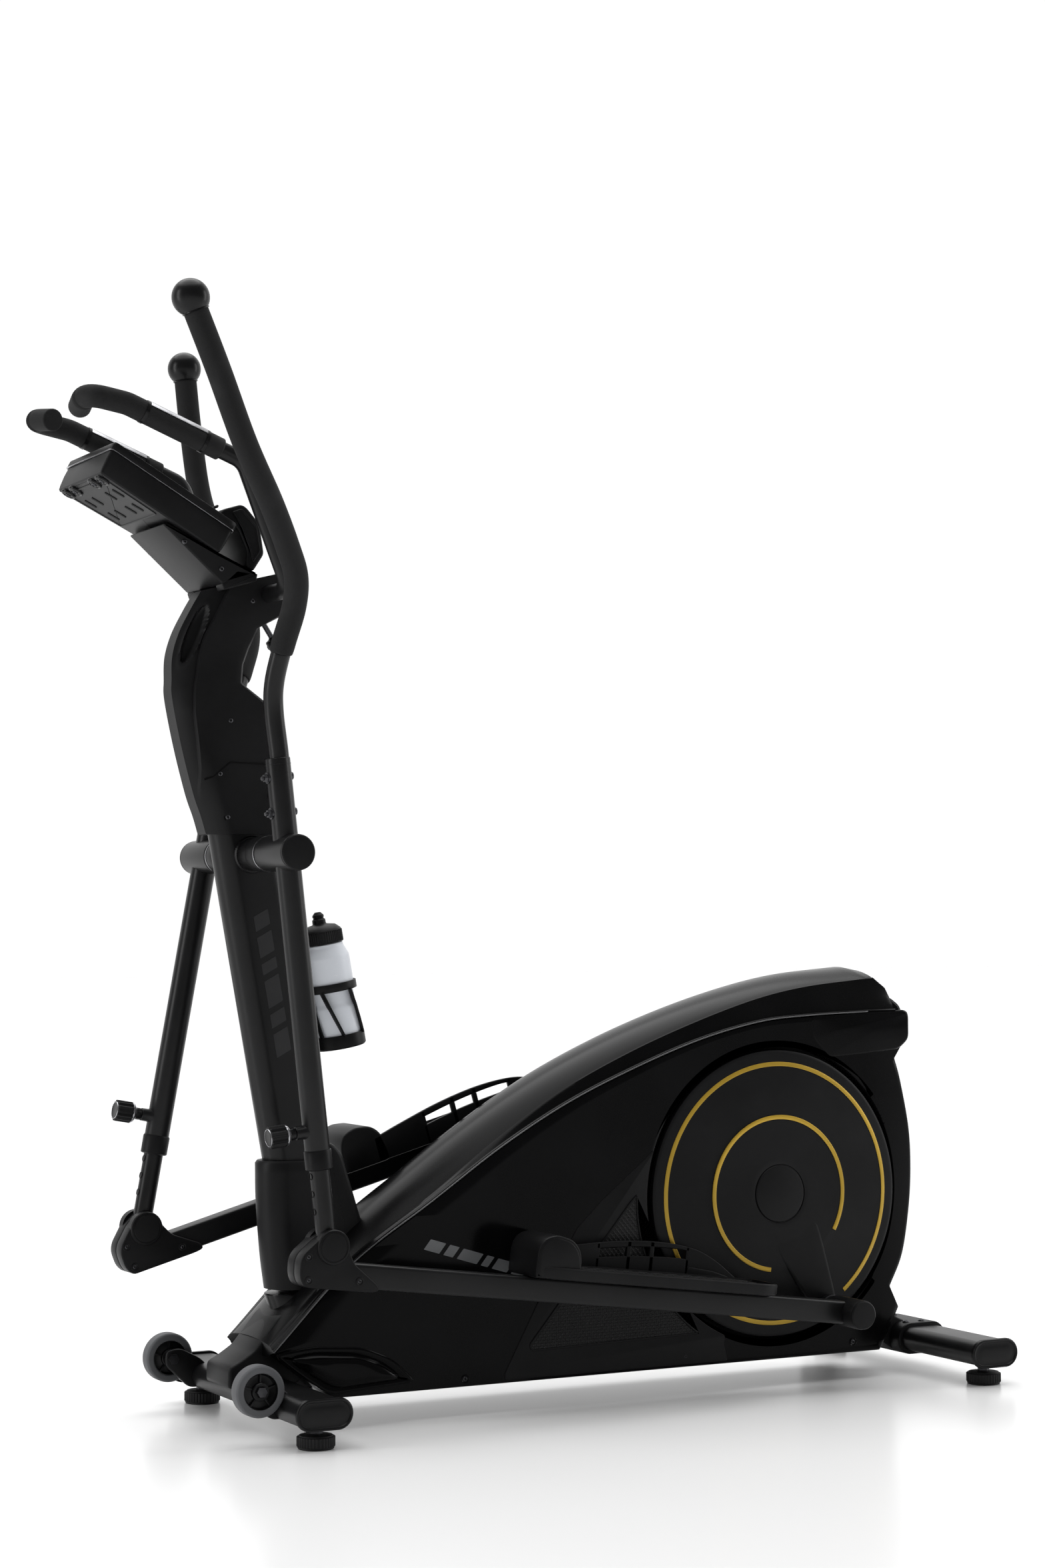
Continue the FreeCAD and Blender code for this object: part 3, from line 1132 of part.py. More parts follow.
# ---------------------------------------------------------------- build
def build():
    for place in STAB_X:
        stabiliser(place)
    stabiliser_caps()
    feet()
    transport_wheels()
    main_frame()
    mast()
    pivot_axle()
    crank_bearings()
    crank_axle()
    drive_pulley()
    flywheel()
    drive_belt()
    magnet_bracket()
    crank_arms()
    disc_trim()
    for hand in SIDES:
        crank_disc(hand)
        shroud_half(hand)
        mast_head(hand)
        arm(hand)
        handle(hand)
        grip(hand)
        leg(hand)
        pull_knob(hand)
        pedal_bar(hand)
        knuckle(hand)
        pedal(hand)
    shroud_crown()
    vent_grilles()
    mast_sleeve()
    mast_base_cover()
    console_parts()
    tablet_holder()
    console_neck()
    fixed_handlebar()
    handlebar_grips()
    pulse_sensors()
    clamp_knob()
    bottle()
    bottle_cage()


def centre_on_origin():
    """Move every sub-part forward so that the origin is under the middle of the machine."""
    shift = Placement(Vector(-float(d["origin_shift"]), 0, 0), Rotation())
    for thing in subparts:
        thing.Placement = shift.multiply(thing.Placement)
    doc.recompute()


def check_and_write():
    """Stop on any failed object or unsound shape, then write one file per sub-part."""
    for thing in doc.Objects:
        if "Invalid" in thing.State or "Error" in thing.State:
            raise RuntimeError("%s did not compute: %s" % (thing.Name, thing.State))
    for thing in subparts:
        if thing.Shape.isNull() or not thing.Shape.isValid():
            raise RuntimeError("%s has no sound shape" % thing.Label)
    os.makedirs("parts", exist_ok=True)
    for thing in subparts:
        thing.Shape.exportStep("parts/%s.step" % thing.Label)
    box = FreeCAD.BoundBox()
    for thing in subparts:
        box.add(thing.Shape.BoundBox)
    print("sub-parts", len(subparts), "size", [round(length, 1) for length in (box.XLength, box.YLength, box.ZLength)])
    print("middle x %.2f y %.2f, lowest %.3f" % (box.Center.x, box.Center.y, box.ZMin))


build()
doc.recompute()
centre_on_origin()
check_and_write()
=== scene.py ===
"""Elliptical trainer: the visual model of its tubes, mouldings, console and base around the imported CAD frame.

Shapes are worked out in millimetres from one datum: X runs rearwards from the front feet, Y to the right of
a person who faces the console, Z up from the floor. Shell.piece() turns them into metres in the CAD frame.
"""
import json
import logging
import math
from dataclasses import dataclass
from enum import Enum

import bmesh
import bpy
import numpy as np
from mathutils import Matrix, Vector


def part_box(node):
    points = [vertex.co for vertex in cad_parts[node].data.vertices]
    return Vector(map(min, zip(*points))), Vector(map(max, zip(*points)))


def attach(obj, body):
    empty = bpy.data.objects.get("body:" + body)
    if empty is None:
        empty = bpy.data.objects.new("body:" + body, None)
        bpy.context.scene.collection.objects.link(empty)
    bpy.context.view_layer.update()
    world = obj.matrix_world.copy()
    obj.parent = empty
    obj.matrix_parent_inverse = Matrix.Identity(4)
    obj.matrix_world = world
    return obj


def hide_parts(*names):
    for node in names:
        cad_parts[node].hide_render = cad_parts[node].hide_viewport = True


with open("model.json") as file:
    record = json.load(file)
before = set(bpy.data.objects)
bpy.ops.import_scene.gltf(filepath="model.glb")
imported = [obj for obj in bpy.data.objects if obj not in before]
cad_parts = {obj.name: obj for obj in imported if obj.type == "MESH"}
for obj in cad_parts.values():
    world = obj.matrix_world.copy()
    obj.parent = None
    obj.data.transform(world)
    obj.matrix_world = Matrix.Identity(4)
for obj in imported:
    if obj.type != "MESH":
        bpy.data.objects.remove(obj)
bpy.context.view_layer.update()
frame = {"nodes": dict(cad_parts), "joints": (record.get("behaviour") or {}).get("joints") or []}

log = logging.getLogger("trainer")
Array = np.ndarray
# From the front feet to the middle of the machine.
FRONT_OFFSET = -sum(corner.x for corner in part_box("foot_front_left")) / 2 * 1000
UP = np.array([0.0, 0.0, 1.0])
ACROSS = np.array([0.0, 1.0, 0.0])


class Side(Enum):
    """Which side of the machine a piece is on, as the sign of its Y."""

    LEFT = -1
    RIGHT = 1

    @property
    def word(self) -> str:
        """The side's name as the CAD nodes spell it."""
        return self.name.lower()


# ---------------------------------------------------------------- shader maths
class Socket:
    """A value socket in a node tree whose operators add Math nodes."""

    def __init__(self, tree: "Tree", output: bpy.types.NodeSocket) -> None:
        """Wrap one output of a node."""
        self.tree, self.output = tree, output

    def _maths(self, operation: str, first: object, second: object = 0.0) -> "Socket":
        """One Math node on two values or sockets."""
        return self.tree.node("ShaderNodeMath", {"operation": operation}, {0: first, 1: second})

    def __add__(self, other: object) -> "Socket":
        """Sum."""
        return self._maths("ADD", self, other)

    __radd__ = __add__

    def __sub__(self, other: object) -> "Socket":
        """Difference."""
        return self._maths("SUBTRACT", self, other)

    def __rsub__(self, other: object) -> "Socket":
        """Difference the other way round, as in 1 - mask."""
        return self._maths("SUBTRACT", other, self)

    def __mul__(self, other: object) -> "Socket":
        """Product."""
        return self._maths("MULTIPLY", self, other)

    __rmul__ = __mul__

    def __truediv__(self, other: object) -> "Socket":
        """Quotient."""
        return self._maths("DIVIDE", self, other)

    def least(self, other: object) -> "Socket":
        """The smaller of two values."""
        return self._maths("MINIMUM", self, other)

    def size(self) -> "Socket":
        """Value without its sign."""
        return self._maths("ABSOLUTE", self)

    def part(self) -> "Socket":
        """The fraction over the whole number below."""
        return self._maths("FRACT", self)

    def root(self) -> "Socket":
        """Square root."""
        return self._maths("SQRT", self)

    def clear_of(self, low: float, high: float) -> "Socket":
        """Smooth step from 0 at low to 1 at high."""
        step = {"interpolation_type": "SMOOTHSTEP"}
        return self.tree.node("ShaderNodeMapRange", step, {"Value": self, "From Min": low, "From Max": high})


class Tree:
    """The node tree of a material, or of the world, with one node-making method."""

    def __init__(self, holder: bpy.types.Material | bpy.types.World | str) -> None:
        """Empty the holder's tree; a name makes a new material."""
        self.holder = bpy.data.materials.new(holder) if isinstance(holder, str) else holder
        self.holder.use_nodes = True
        self.nodes, self.links = self.holder.node_tree.nodes, self.holder.node_tree.links
        self.nodes.clear()

    def node(self, kind: str, settings: dict, values: dict, out: object = 0) -> Socket:
        """Add a node.

        Args:
            kind: the node's type name.
            settings: attributes set first; "stops" fills a ramp with (place, colour) pairs.
            values: numbers, colours or Sockets by input name or number.
            out: name or number of the output handed back.

        Returns:
            The chosen output as a Socket.
        """
        made = self.nodes.new(kind)
        for name, setting in settings.items():
            if name != "stops":
                setattr(made, name, setting)
        for index, (place, colour) in enumerate(settings.get("stops", ())):
            stops = made.color_ramp.elements
            stop = stops[index] if index < len(stops) else stops.new(place)
            stop.position, stop.color = place, (*colour, 1.0)
        for name, value in values.items():
            if isinstance(value, Socket):
                self.links.new(value.output, made.inputs[name])
            else:
                made.inputs[name].default_value = value
        return Socket(self, made.outputs[out])

    def place(self, scale: object = 1.0, offset: tuple = (0.0, 0.0, 0.0)) -> Socket:
        """Object coordinates, scaled and moved."""
        there = self.node("ShaderNodeTexCoord", {}, {}, "Object")
        scales = (scale, scale, scale) if isinstance(scale, (int, float)) else scale
        return self.node("ShaderNodeMapping", {}, {"Vector": there, "Scale": scales, "Location": offset})

    def axes(self) -> tuple[Socket, Socket, Socket]:
        """The three object coordinates in metres, apart."""
        there = self.node("ShaderNodeTexCoord", {}, {}, "Object")
        return tuple(self.node("ShaderNodeSeparateXYZ", {}, {0: there}, index) for index in range(3))

    def noise(self, scale: float, detail: float = 3.0, stretch: tuple = (1.0, 1.0, 1.0)) -> Socket:
        """Cloudy noise, features per metre."""
        sizes = tuple(scale * part for part in stretch)
        return self.node("ShaderNodeTexNoise", {}, {"Vector": self.place(sizes), "Scale": 1.0,
                                                    "Detail": detail})

    def cells(self, scale: float, out: str = "Distance") -> Socket:
        """Voronoi cells, features per metre."""
        return self.node("ShaderNodeTexVoronoi", {}, {"Vector": self.place(), "Scale": scale}, out)

    def blend(self, share: object, first: tuple | Socket, second: tuple | Socket) -> Socket:
        """Mix two colours by a share."""
        colours = [part if isinstance(part, Socket) else (*part, 1.0) for part in (first, second)]
        return self.node("ShaderNodeMix", {"data_type": "RGBA"}, {0: share, 6: colours[0], 7: colours[1]}, 2)

    def bump(self, height: Socket, depth: float, before: Socket | None = None) -> Socket:
        """A normal bent by a height in 0..1, depth in metres."""
        values = {"Height": height, "Distance": depth, "Strength": 1.0}
        if before is not None:
            values["Normal"] = before
        return self.node("ShaderNodeBump", {}, values)

    def finish(self, colour: object, rough: object, normal: Socket | None = None,
               **constants: object) -> bpy.types.Material:
        """Close the tree with a Principled shader.

        Args:
            colour: a colour or Socket for Base Color.
            rough: a number or Socket for Roughness.
            normal: bent normal, if any.
            **constants: other inputs, with underscores for spaces.

        Returns:
            The finished material.
        """
        values = {"Base Color": colour if isinstance(colour, Socket) else (*colour, 1.0), "Roughness": rough}
        values.update({name.replace("_", " "): value for name, value in constants.items()})
        if normal is not None:
            values["Normal"] = normal
        shader = self.node("ShaderNodeBsdfPrincipled", {}, values)
        end = self.nodes.new("ShaderNodeOutputMaterial")
        self.links.new(shader.output, end.inputs["Surface"])
        return self.holder


# ---------------------------------------------------------------- finishes
@dataclass(frozen=True)
class Moulded:
    """A dark moulded plastic or powder coat: fine grain, cloudy gloss, faint dust and rubbed colour.

    colour is the middle of the base colour; grain is the grain's features per metre and depth its height.
    """

    name: str
    colour: tuple
    rough: float = 0.45
    grain: float = 1400.0
    depth: float = 0.00004
    cloud: float = 0.07
    mottle: float = 0.25
    gloss: float = 0.35
    coat: float = 0.0
    metal: float = 0.0

    def material(self) -> bpy.types.Material:
        """Build the node tree.

        Returns:
            The material, made once and reused.
        """
        if self.name in bpy.data.materials:
            return bpy.data.materials[self.name]
        tree = Tree(self.name)
        broad, fine = tree.noise(9.0, 4.0), tree.noise(self.grain, 2.0)
        specks = tree.noise(260.0, 5.0).clear_of(0.62, 0.80)
        light = tuple(min(1.0, part * (1 + self.mottle) + 0.0006) for part in self.colour)
        dark = tuple(part * (1 - self.mottle) for part in self.colour)
        colour = tree.blend(broad.clear_of(0.3, 0.7), dark, light)
        dusty = tuple(min(1.0, part * 1.4 + 0.004) for part in self.colour)
        colour = tree.blend(specks * 0.30, colour, dusty)
        rough = self.rough + (broad - 0.5) * self.cloud * 2 + specks * 0.10 + (fine - 0.5) * 0.08
        normal = tree.bump(fine, self.depth)
        return tree.finish(colour, rough, normal, Metallic=self.metal, Specular_IOR_Level=self.gloss,
                           Coat_Weight=self.coat, Coat_Roughness=0.06)


@dataclass(frozen=True)
class Foam:
    """Closed-cell grip foam: small open pores, a dull skin and worn, slightly shiny patches."""

    name: str
    colour: tuple
    pores: float = 900.0

    def material(self) -> bpy.types.Material:
        """Build the node tree; the height is pore distance plus fine noise."""
        if self.name in bpy.data.materials:
            return bpy.data.materials[self.name]
        tree = Tree(self.name)
        pores, fine, wear = tree.cells(self.pores), tree.noise(2600.0, 2.0), tree.noise(14.0, 3.0)
        height = pores.clear_of(0.05, 0.55) * 0.7 + fine * 0.3
        # Pore centres are painted darker: painted shade in the pore hollows.
        colour = tree.blend(pores.clear_of(0.1, 0.5), tuple(part * 0.55 for part in self.colour), self.colour)
        colour = tree.blend(wear.clear_of(0.5, 0.8) * 0.35, colour, tuple(part * 1.5 + 0.006
                for part in self.colour))
        rough = 0.82 - wear.clear_of(0.5, 0.8) * 0.16
        return tree.finish(colour, rough, tree.bump(height, 0.00022), Specular_IOR_Level=0.3)


@dataclass(frozen=True)
class Metal:
    """Bare or plated metal with brushing along one axis and slight tarnish."""

    name: str
    colour: tuple
    rough: float = 0.3
    stretch: tuple = (1.0, 40.0, 40.0)

    def material(self) -> bpy.types.Material:
        """Build the node tree; the brushing is noise stretched along one axis."""
        if self.name in bpy.data.materials:
            return bpy.data.materials[self.name]
        tree = Tree(self.name)
        brushed, cloud = tree.noise(60.0, 3.0, self.stretch), tree.noise(40.0, 4.0)
        colour = tree.blend(cloud.clear_of(0.35, 0.7), tuple(part * 0.75 for part in self.colour),
                            self.colour)
        rough = self.rough + (brushed - 0.5) * 0.22 + (cloud - 0.5) * 0.12
        return tree.finish(colour, rough, tree.bump(brushed, 0.00003), Metallic=1.0)


@dataclass(frozen=True)
class Perforated:
    """A plastic screen whose staggered holes are painted near-black, painted shade for the hollows, in rows
    along X and Z.
    """

    name: str
    colour: tuple
    pitch: float = 0.0075
    hole: float = 0.34

    def material(self) -> bpy.types.Material:
        """Build the node tree; two square lattices, one shifted by half a step, give the staggered rows."""
        if self.name in bpy.data.materials:
            return bpy.data.materials[self.name]
        tree = Tree(self.name)
        x, _, z = tree.axes()
        near = None
        for shift in (0.0, 0.5):
            across, rise = fold(x / self.pitch + shift), fold(z / (self.pitch * 1.15) + shift)
            gap = (across * across + rise * rise).root()
            near = gap if near is None else near.least(gap)
        solid = near.clear_of(self.hole - 0.05, self.hole + 0.05)
        cloud = tree.noise(11.0, 4.0)
        # The holes are painted near-black: painted shade for the hollows behind the screen.
        colour = tree.blend(solid, tuple(part * 0.08 for part in self.colour), self.colour)
        rough = 0.5 + (cloud - 0.5) * 0.14
        return tree.finish(colour, rough, tree.bump(solid, 0.0012), Specular_IOR_Level=0.3)


def fold(value: Socket) -> Socket:
    """How far a value is from the middle of its unit step: |fraction - 1/2|."""
    return (value.part() - 0.5).size()


POWDER = Moulded("powder_coat", (0.0058, 0.0058, 0.0062), rough=0.34, grain=1100.0, depth=0.00004, gloss=0.24)
GLOSS = Moulded("piano_gloss", (0.0022, 0.0022, 0.0024), rough=0.15, grain=500.0, depth=0.000006, cloud=0.03,
                gloss=0.08)
RIDGE = Moulded("ridge_gloss", (0.0022, 0.0022, 0.0024), rough=0.24, grain=700.0, depth=0.00001, cloud=0.04,
                gloss=0.11)
# Lighter grey, very glossy bead finish: a painted highlight for the bright lines along the crown's edges.
HIGHLIGHT_BEAD = Moulded("polished_edge", (0.035, 0.035, 0.037), rough=0.10, grain=400.0, depth=0.000005, cloud=0.03,
               gloss=1.0)
SATIN = Moulded("satin_moulding", (0.0056, 0.0056, 0.0060), rough=0.42, gloss=0.15)
SMOOTH = Moulded("smooth_moulding", (0.0040, 0.0040, 0.0043), rough=0.30, depth=0.00002, gloss=0.2)
DEEP = Moulded("shadow_plastic", (0.0015, 0.0015, 0.0016), rough=0.6, gloss=0.1)
TREAD = Moulded("tread_rubber", (0.0085, 0.0085, 0.0090), rough=0.6, grain=1800.0, depth=0.00008, gloss=0.25)
TYRE = Moulded("grey_tyre", (0.085, 0.087, 0.092), rough=0.55, grain=1500.0)
GOLD = Moulded("gold_line", (0.50, 0.32, 0.035), rough=0.36, mottle=0.1, metal=0.35)
MARK = Moulded("pale_mark", (0.16, 0.165, 0.17), rough=0.4, mottle=0.12, metal=0.3)
FAINT = Moulded("faint_mark", (0.022, 0.022, 0.023), rough=0.3, mottle=0.12, metal=0.2)
MILK = Moulded("milky_plastic", (0.72, 0.75, 0.80), rough=0.34, mottle=0.04, grain=300.0)
DISPLAY = Moulded("display_glass", (0.010, 0.013, 0.016), rough=0.08, grain=400.0, depth=0.000004, coat=0.6)
SEGMENT = Moulded("display_segment", (0.30, 0.36, 0.34), rough=0.3)
FOAM = Foam("grip_foam", (0.0080, 0.0080, 0.0084))
SCREEN = Perforated("perforated_screen", (0.0125, 0.0125, 0.0130))
STEEL = Metal("turned_steel", (0.52, 0.52, 0.54))
BOLT = Metal("blackened_steel", (0.075, 0.075, 0.08), rough=0.36)
IRON = Metal("cast_flywheel", (0.16, 0.16, 0.165), rough=0.5)


# ---------------------------------------------------------------- shapes
def points(*rows: tuple) -> Array:
    """Rows of numbers as an array."""
    return np.array(rows, dtype=float)


def unit(vector: Array) -> Array:
    """Vectors of length one along the last axis."""
    return vector / np.maximum(np.linalg.norm(vector, axis=-1, keepdims=True), 1e-12)


def softened(corners: Array, reach: float | Array, steps: int = 6, closed: bool = True) -> Array:
    """Round a polyline's corners.

    Each corner C is swapped for the quadratic curve (1-t)^2 A + 2t(1-t) C + t^2 B, where A and B lie on its
    two edges, reach away but never past 48 % of an edge.

    Args:
        corners: (n, k) corners.
        reach: one length, or one per corner.
        steps: points per corner.
        closed: whether the last corner joins the first.

    Returns:
        (m, k) points.
    """
    corners = np.asarray(corners, dtype=float)
    inner = corners if closed else corners[1:-1]
    before = np.roll(corners, 1, axis=0) if closed else corners[:-2]
    after = np.roll(corners, -1, axis=0) if closed else corners[2:]
    reach = np.broadcast_to(np.asarray(reach, dtype=float), (len(inner),))
    back, ahead = before - inner, after - inner
    back_length, ahead_length = np.linalg.norm(back, axis=1), np.linalg.norm(ahead, axis=1)
    start = inner + unit(back) * np.minimum(reach, back_length * 0.48)[:, None]
    end = inner + unit(ahead) * np.minimum(reach, ahead_length * 0.48)[:, None]
    t = np.linspace(0, 1, steps)[None, :, None]
    curve = (1 - t) ** 2 * start[:, None] + 2 * t * (1 - t) * inner[:, None] + t ** 2 * end[:, None]
    curve = curve.reshape(-1, corners.shape[1])
    return curve if closed else np.vstack([corners[:1], curve, corners[-1:]])


def spread(line: Array, count: int) -> Array:
    """Points at equal steps along a polyline."""
    gaps = np.linalg.norm(np.diff(line, axis=0), axis=1)
    along = np.concatenate([[0], np.cumsum(gaps)])
    wanted = np.linspace(0, along[-1], count)
    return np.stack([np.interp(wanted, along, line[:, axis]) for axis in range(line.shape[1])], axis=1)


def flowing(anchors: Array, count: int) -> Array:
    """A smooth line through anchors: a Catmull-Rom curve, each span a cubic in t, at count equal steps."""
    padded = np.vstack([2 * anchors[:1] - anchors[1:2], anchors, 2 * anchors[-1:] - anchors[-2:-1]])
    t = np.linspace(0, 1, 16, endpoint=False)[None, :, None]
    a, b, c, e = (padded[index:len(padded) - 3 + index][:, None] for index in range(4))
    span = 0.5 * (2 * b + (c - a) * t + (2 * a - 5 * b + 4 * c - e) * t ** 2 + (3 * b - 3 * c + e - a)
                  * t ** 3)
    return spread(np.vstack([span.reshape(-1, anchors.shape[1]), anchors[-1:]]), count)


def inset_outline(outline: Array, distance: float) -> Array:
    """A closed outline moved inwards: each point goes along the mean of its two edge normals, mitred.

    The outline may run either way round; its signed area tells which side is inside.
    """
    before, after = outline - np.roll(outline, 1, axis=0), np.roll(outline, -1, axis=0) - outline
    area = np.sum(outline[:, 0] * np.roll(outline[:, 1], -1) - np.roll(outline[:, 0], -1) * outline[:, 1])
    turn = 1.0 if area > 0 else -1.0
    first = unit(np.stack([-before[:, 1], before[:, 0]], axis=1)) * turn
    second = unit(np.stack([-after[:, 1], after[:, 0]], axis=1)) * turn
    mean = unit(first + second)
    return outline + mean * (distance / np.maximum(np.sum(mean * first, axis=1), 0.5))[:, None]


def oblong(deep: float, wide: float, count: int = 48) -> Array:
    """A closed outline with half-round ends: a circle pulled apart along its first axis."""
    angle = np.linspace(0, 2 * math.pi, count, endpoint=False) + math.pi / count
    shift = np.where(np.cos(angle) > 0, 1, -1) * (deep - wide) / 2
    return np.stack([np.cos(angle) * wide / 2 + shift, np.sin(angle) * wide / 2], axis=1)


def circle(radius: float, count: int = 40) -> Array:
    """A closed round outline."""
    return oblong(2 * radius, 2 * radius, count)


def frame_along(path: Array, hint: Array | None = None) -> tuple[Array, Array]:
    """Two unit vectors across each point of a path.

    The first is the part of a fixed hint square to the path's direction, so the frame never spins.
    """
    ways = unit(np.gradient(path, axis=0))
    if hint is None:
        middle = unit(path[-1] - path[0])
        hint = ACROSS if abs(middle[1]) < 0.8 else UP
    first = unit(hint[None] - ways * np.sum(ways * hint[None], axis=1, keepdims=True))
    return first, np.cross(ways, first)


class Shell:
    """Closed surfaces in millimetres that become one piece."""

    def __init__(self) -> None:
        """Start with nothing."""
        self.corners: list[Array] = []
        self.faces: list[list[int]] = []
        self.marks: list[int] = []
        self.count = 0

    def grid(self, grid: Array, ring: bool = True, caps: bool = True, mark: int = 0,
             joined: bool = False) -> "Shell":
        """Add a grid of points as quads.

        Args:
            grid: (rows, columns, 3) points.
            ring: columns join round.
            caps: the first and last rows are filled.
            mark: which of the piece's finishes the faces take.
            joined: rows join round too, as on a hoop.

        Returns:
            The shell itself.
        """
        rows, columns = grid.shape[:2]
        numbers = np.arange(rows * columns).reshape(rows, columns) + self.count
        up = np.roll(numbers, -1, axis=0) if joined else numbers[1:]
        low = numbers if joined else numbers[:-1]
        if ring:
            quads = np.stack([low, np.roll(low, -1, axis=1), np.roll(up, -1, axis=1), up], axis=-1)
        else:
            quads = np.stack([low[:, :-1], low[:, 1:], up[:, 1:], up[:, :-1]], axis=-1)
        self.faces += quads.reshape(-1, 4).tolist()
        self.marks += [mark] * (quads.size // 4)
        if caps and ring and not joined:
            self.faces += [numbers[0][::-1].tolist(), numbers[-1].tolist()]
            self.marks += [mark, mark]
        self.corners.append(grid.reshape(-1, 3))
        self.count += rows * columns
        return self

    def sweep(self, path: Array, outline: Array, scale: Array | float = 1.0, hint: Array | None = None,
              edge: float = 0.0, mark: int = 0) -> "Shell":
        """Carry an outline along a path: point = path + u * first + v * second, times the scale there.

        Args:
            path: (n, 3) points.
            outline: (m, 2) closed outline.
            scale: one number, or one per point of the path.
            hint: fixed direction that the outline's first axis leans on.
            edge: size of the rounded edge at both ends.
            mark: finish number.

        Returns:
            The shell itself.
        """
        path, scale = np.asarray(path, dtype=float), np.broadcast_to(np.asarray(scale, dtype=float),
                (len(path),))
        if edge > 0:
            turn = np.linspace(0, math.pi / 2, 4)
            size = np.abs(outline).max()
            shrink = (size - edge * (1 - np.sin(turn))) / size
            start, end = unit(path[1] - path[0]), unit(path[-1] - path[-2])
            head = path[0] + start * (edge * (1 - np.cos(turn)))[:, None]
            tail = path[-1] - end * (edge * (1 - np.cos(turn[::-1])))[:, None]
            inside = (np.arange(len(path)) > 0) & (np.arange(len(path)) < len(path) - 1)
            scale = np.concatenate([shrink * scale[0], scale[inside], shrink[::-1] * scale[-1]])
            path = np.vstack([head, path[inside], tail])
        first, second = frame_along(path, hint)
        u, v = outline[None, :, 0, None], outline[None, :, 1, None]
        return self.grid(path[:, None] + (u * first[:, None] + v * second[:, None]) * scale[:, None, None],
                         mark=mark)

    def lathe(self, profile: Array, centre: Array, axis: Array, count: int = 56, mark: int = 0) -> "Shell":
        """Turn a profile round an axis: point = centre + h * axis + r (cos a * u + sin a * v).

        Args:
            profile: (n, 2) radius and height; a closed solid starts and ends at radius 0 or meets itself.
            centre: where height is 0.
            axis: direction of height.
            count: points round.
            mark: finish number.

        Returns:
            The shell itself.
        """
        axis = unit(np.asarray(axis, dtype=float))
        side = unit(np.cross(axis, UP if abs(axis[2]) < 0.9 else np.array([1.0, 0.0, 0.0])))
        other = np.cross(axis, side)
        angle = np.linspace(0, 2 * math.pi, count, endpoint=False)
        round_trip = np.cos(angle)[:, None] * side + np.sin(angle)[:, None] * other
        radius, height = np.maximum(profile[:, 0], 0.01), profile[:, 1]
        grid = (np.asarray(centre, dtype=float) + height[:, None, None] * axis
                + radius[:, None, None] * round_trip)
        hoop = bool(profile[0, 0] > 0.01 and profile[-1, 0] > 0.01)
        return self.grid(grid, mark=mark, joined=hoop, caps=not hoop)

    def slab(self, outline: Array, low: float, high: float, edge: float = 1.5, place: "Plane | None" = None,
             mark: int = 0) -> "Shell":
        """A flat piece between two levels with rounded edges.

        Rows are the outline moved in by edge (1 - sin a) at level + edge (1 - cos a), for a from 0 to
        90 degrees.

        Args:
            outline: (n, 2) closed outline in the plane.
            low, high: levels along the plane's normal.
            edge: size of the rounded edge.
            place: the plane; the machine's side plane if left out.
            mark: finish number.

        Returns:
            The shell itself.
        """
        place = place or SIDE_PLANE
        low, high = min(low, high), max(low, high)
        turn = np.linspace(0, math.pi / 2, 4)
        if edge > 0:
            insets, levels = edge * (1 - np.sin(turn)), edge * (1 - np.cos(turn))
        else:
            insets, levels = np.zeros(1), np.zeros(1)
        rows = [place.point(inset_outline(outline, inset), low + level)
                for inset, level in zip(insets, levels)]
        rows += [place.point(inset_outline(outline, inset), high - level)
                 for inset, level in zip(insets[::-1], levels[::-1])]
        return self.grid(np.stack(rows), mark=mark)

    def dish(self, outline: Array, rows: list[tuple[float, float]], place: "Plane | None" = None,
             mark: int = 0) -> "Shell":
        """A moulding whose section is given from its rim to its middle.

        Args:
            outline: (n, 2) closed outline.
            rows: (inset, level) pairs in order, closed over the back by the caps.
            place: the plane.
            mark: finish number.

        Returns:
            The shell itself.
        """
        place = place or SIDE_PLANE
        return self.grid(np.stack([place.point(inset_outline(outline, inset), level)
                                   for inset, level in rows]), mark=mark)

    def piece(self, name: str, body: str, *finishes: object, replaces: tuple = (), slot: str = "",
              sharp: float = 32.0) -> bpy.types.Object:
        """Make the mesh and hang it on its body.

        Args:
            name: the piece's name.
            body: the CAD body it rides on.
            *finishes: one finish per mark.
            replaces: CAD nodes it stands for.
            slot: the record's material slot; not used.
            sharp: edges bent by more degrees than this stay crisp.

        Returns:
            The object.
        """
        corners = np.vstack(self.corners)
        corners = (corners - np.array([FRONT_OFFSET, 0.0, 0.0])) / 1000.0
        mesh = bpy.data.meshes.new(name)
        mesh.from_pydata(corners.tolist(), [], self.faces)
        mesh.polygons.foreach_set("material_index", np.array(self.marks, dtype=np.int32))
        edit = bmesh.new()
        edit.from_mesh(mesh)
        bmesh.ops.remove_doubles(edit, verts=edit.verts, dist=0.000002)
        bmesh.ops.recalc_face_normals(edit, faces=edit.faces)
        edit.to_mesh(mesh)
        edit.free()
        mesh.polygons.foreach_set("use_smooth", np.ones(len(mesh.polygons), dtype=bool))
        mesh.set_sharp_from_angle(angle=math.radians(sharp))
        for finish in finishes:
            mesh.materials.append(finish.material())
        made = bpy.data.objects.new(name, mesh)
        bpy.context.scene.collection.objects.link(made)
        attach(made, body)
        if replaces:
            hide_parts(*replaces)
        log.info("%s: %d faces on %s", name, len(mesh.polygons), body)
        return made



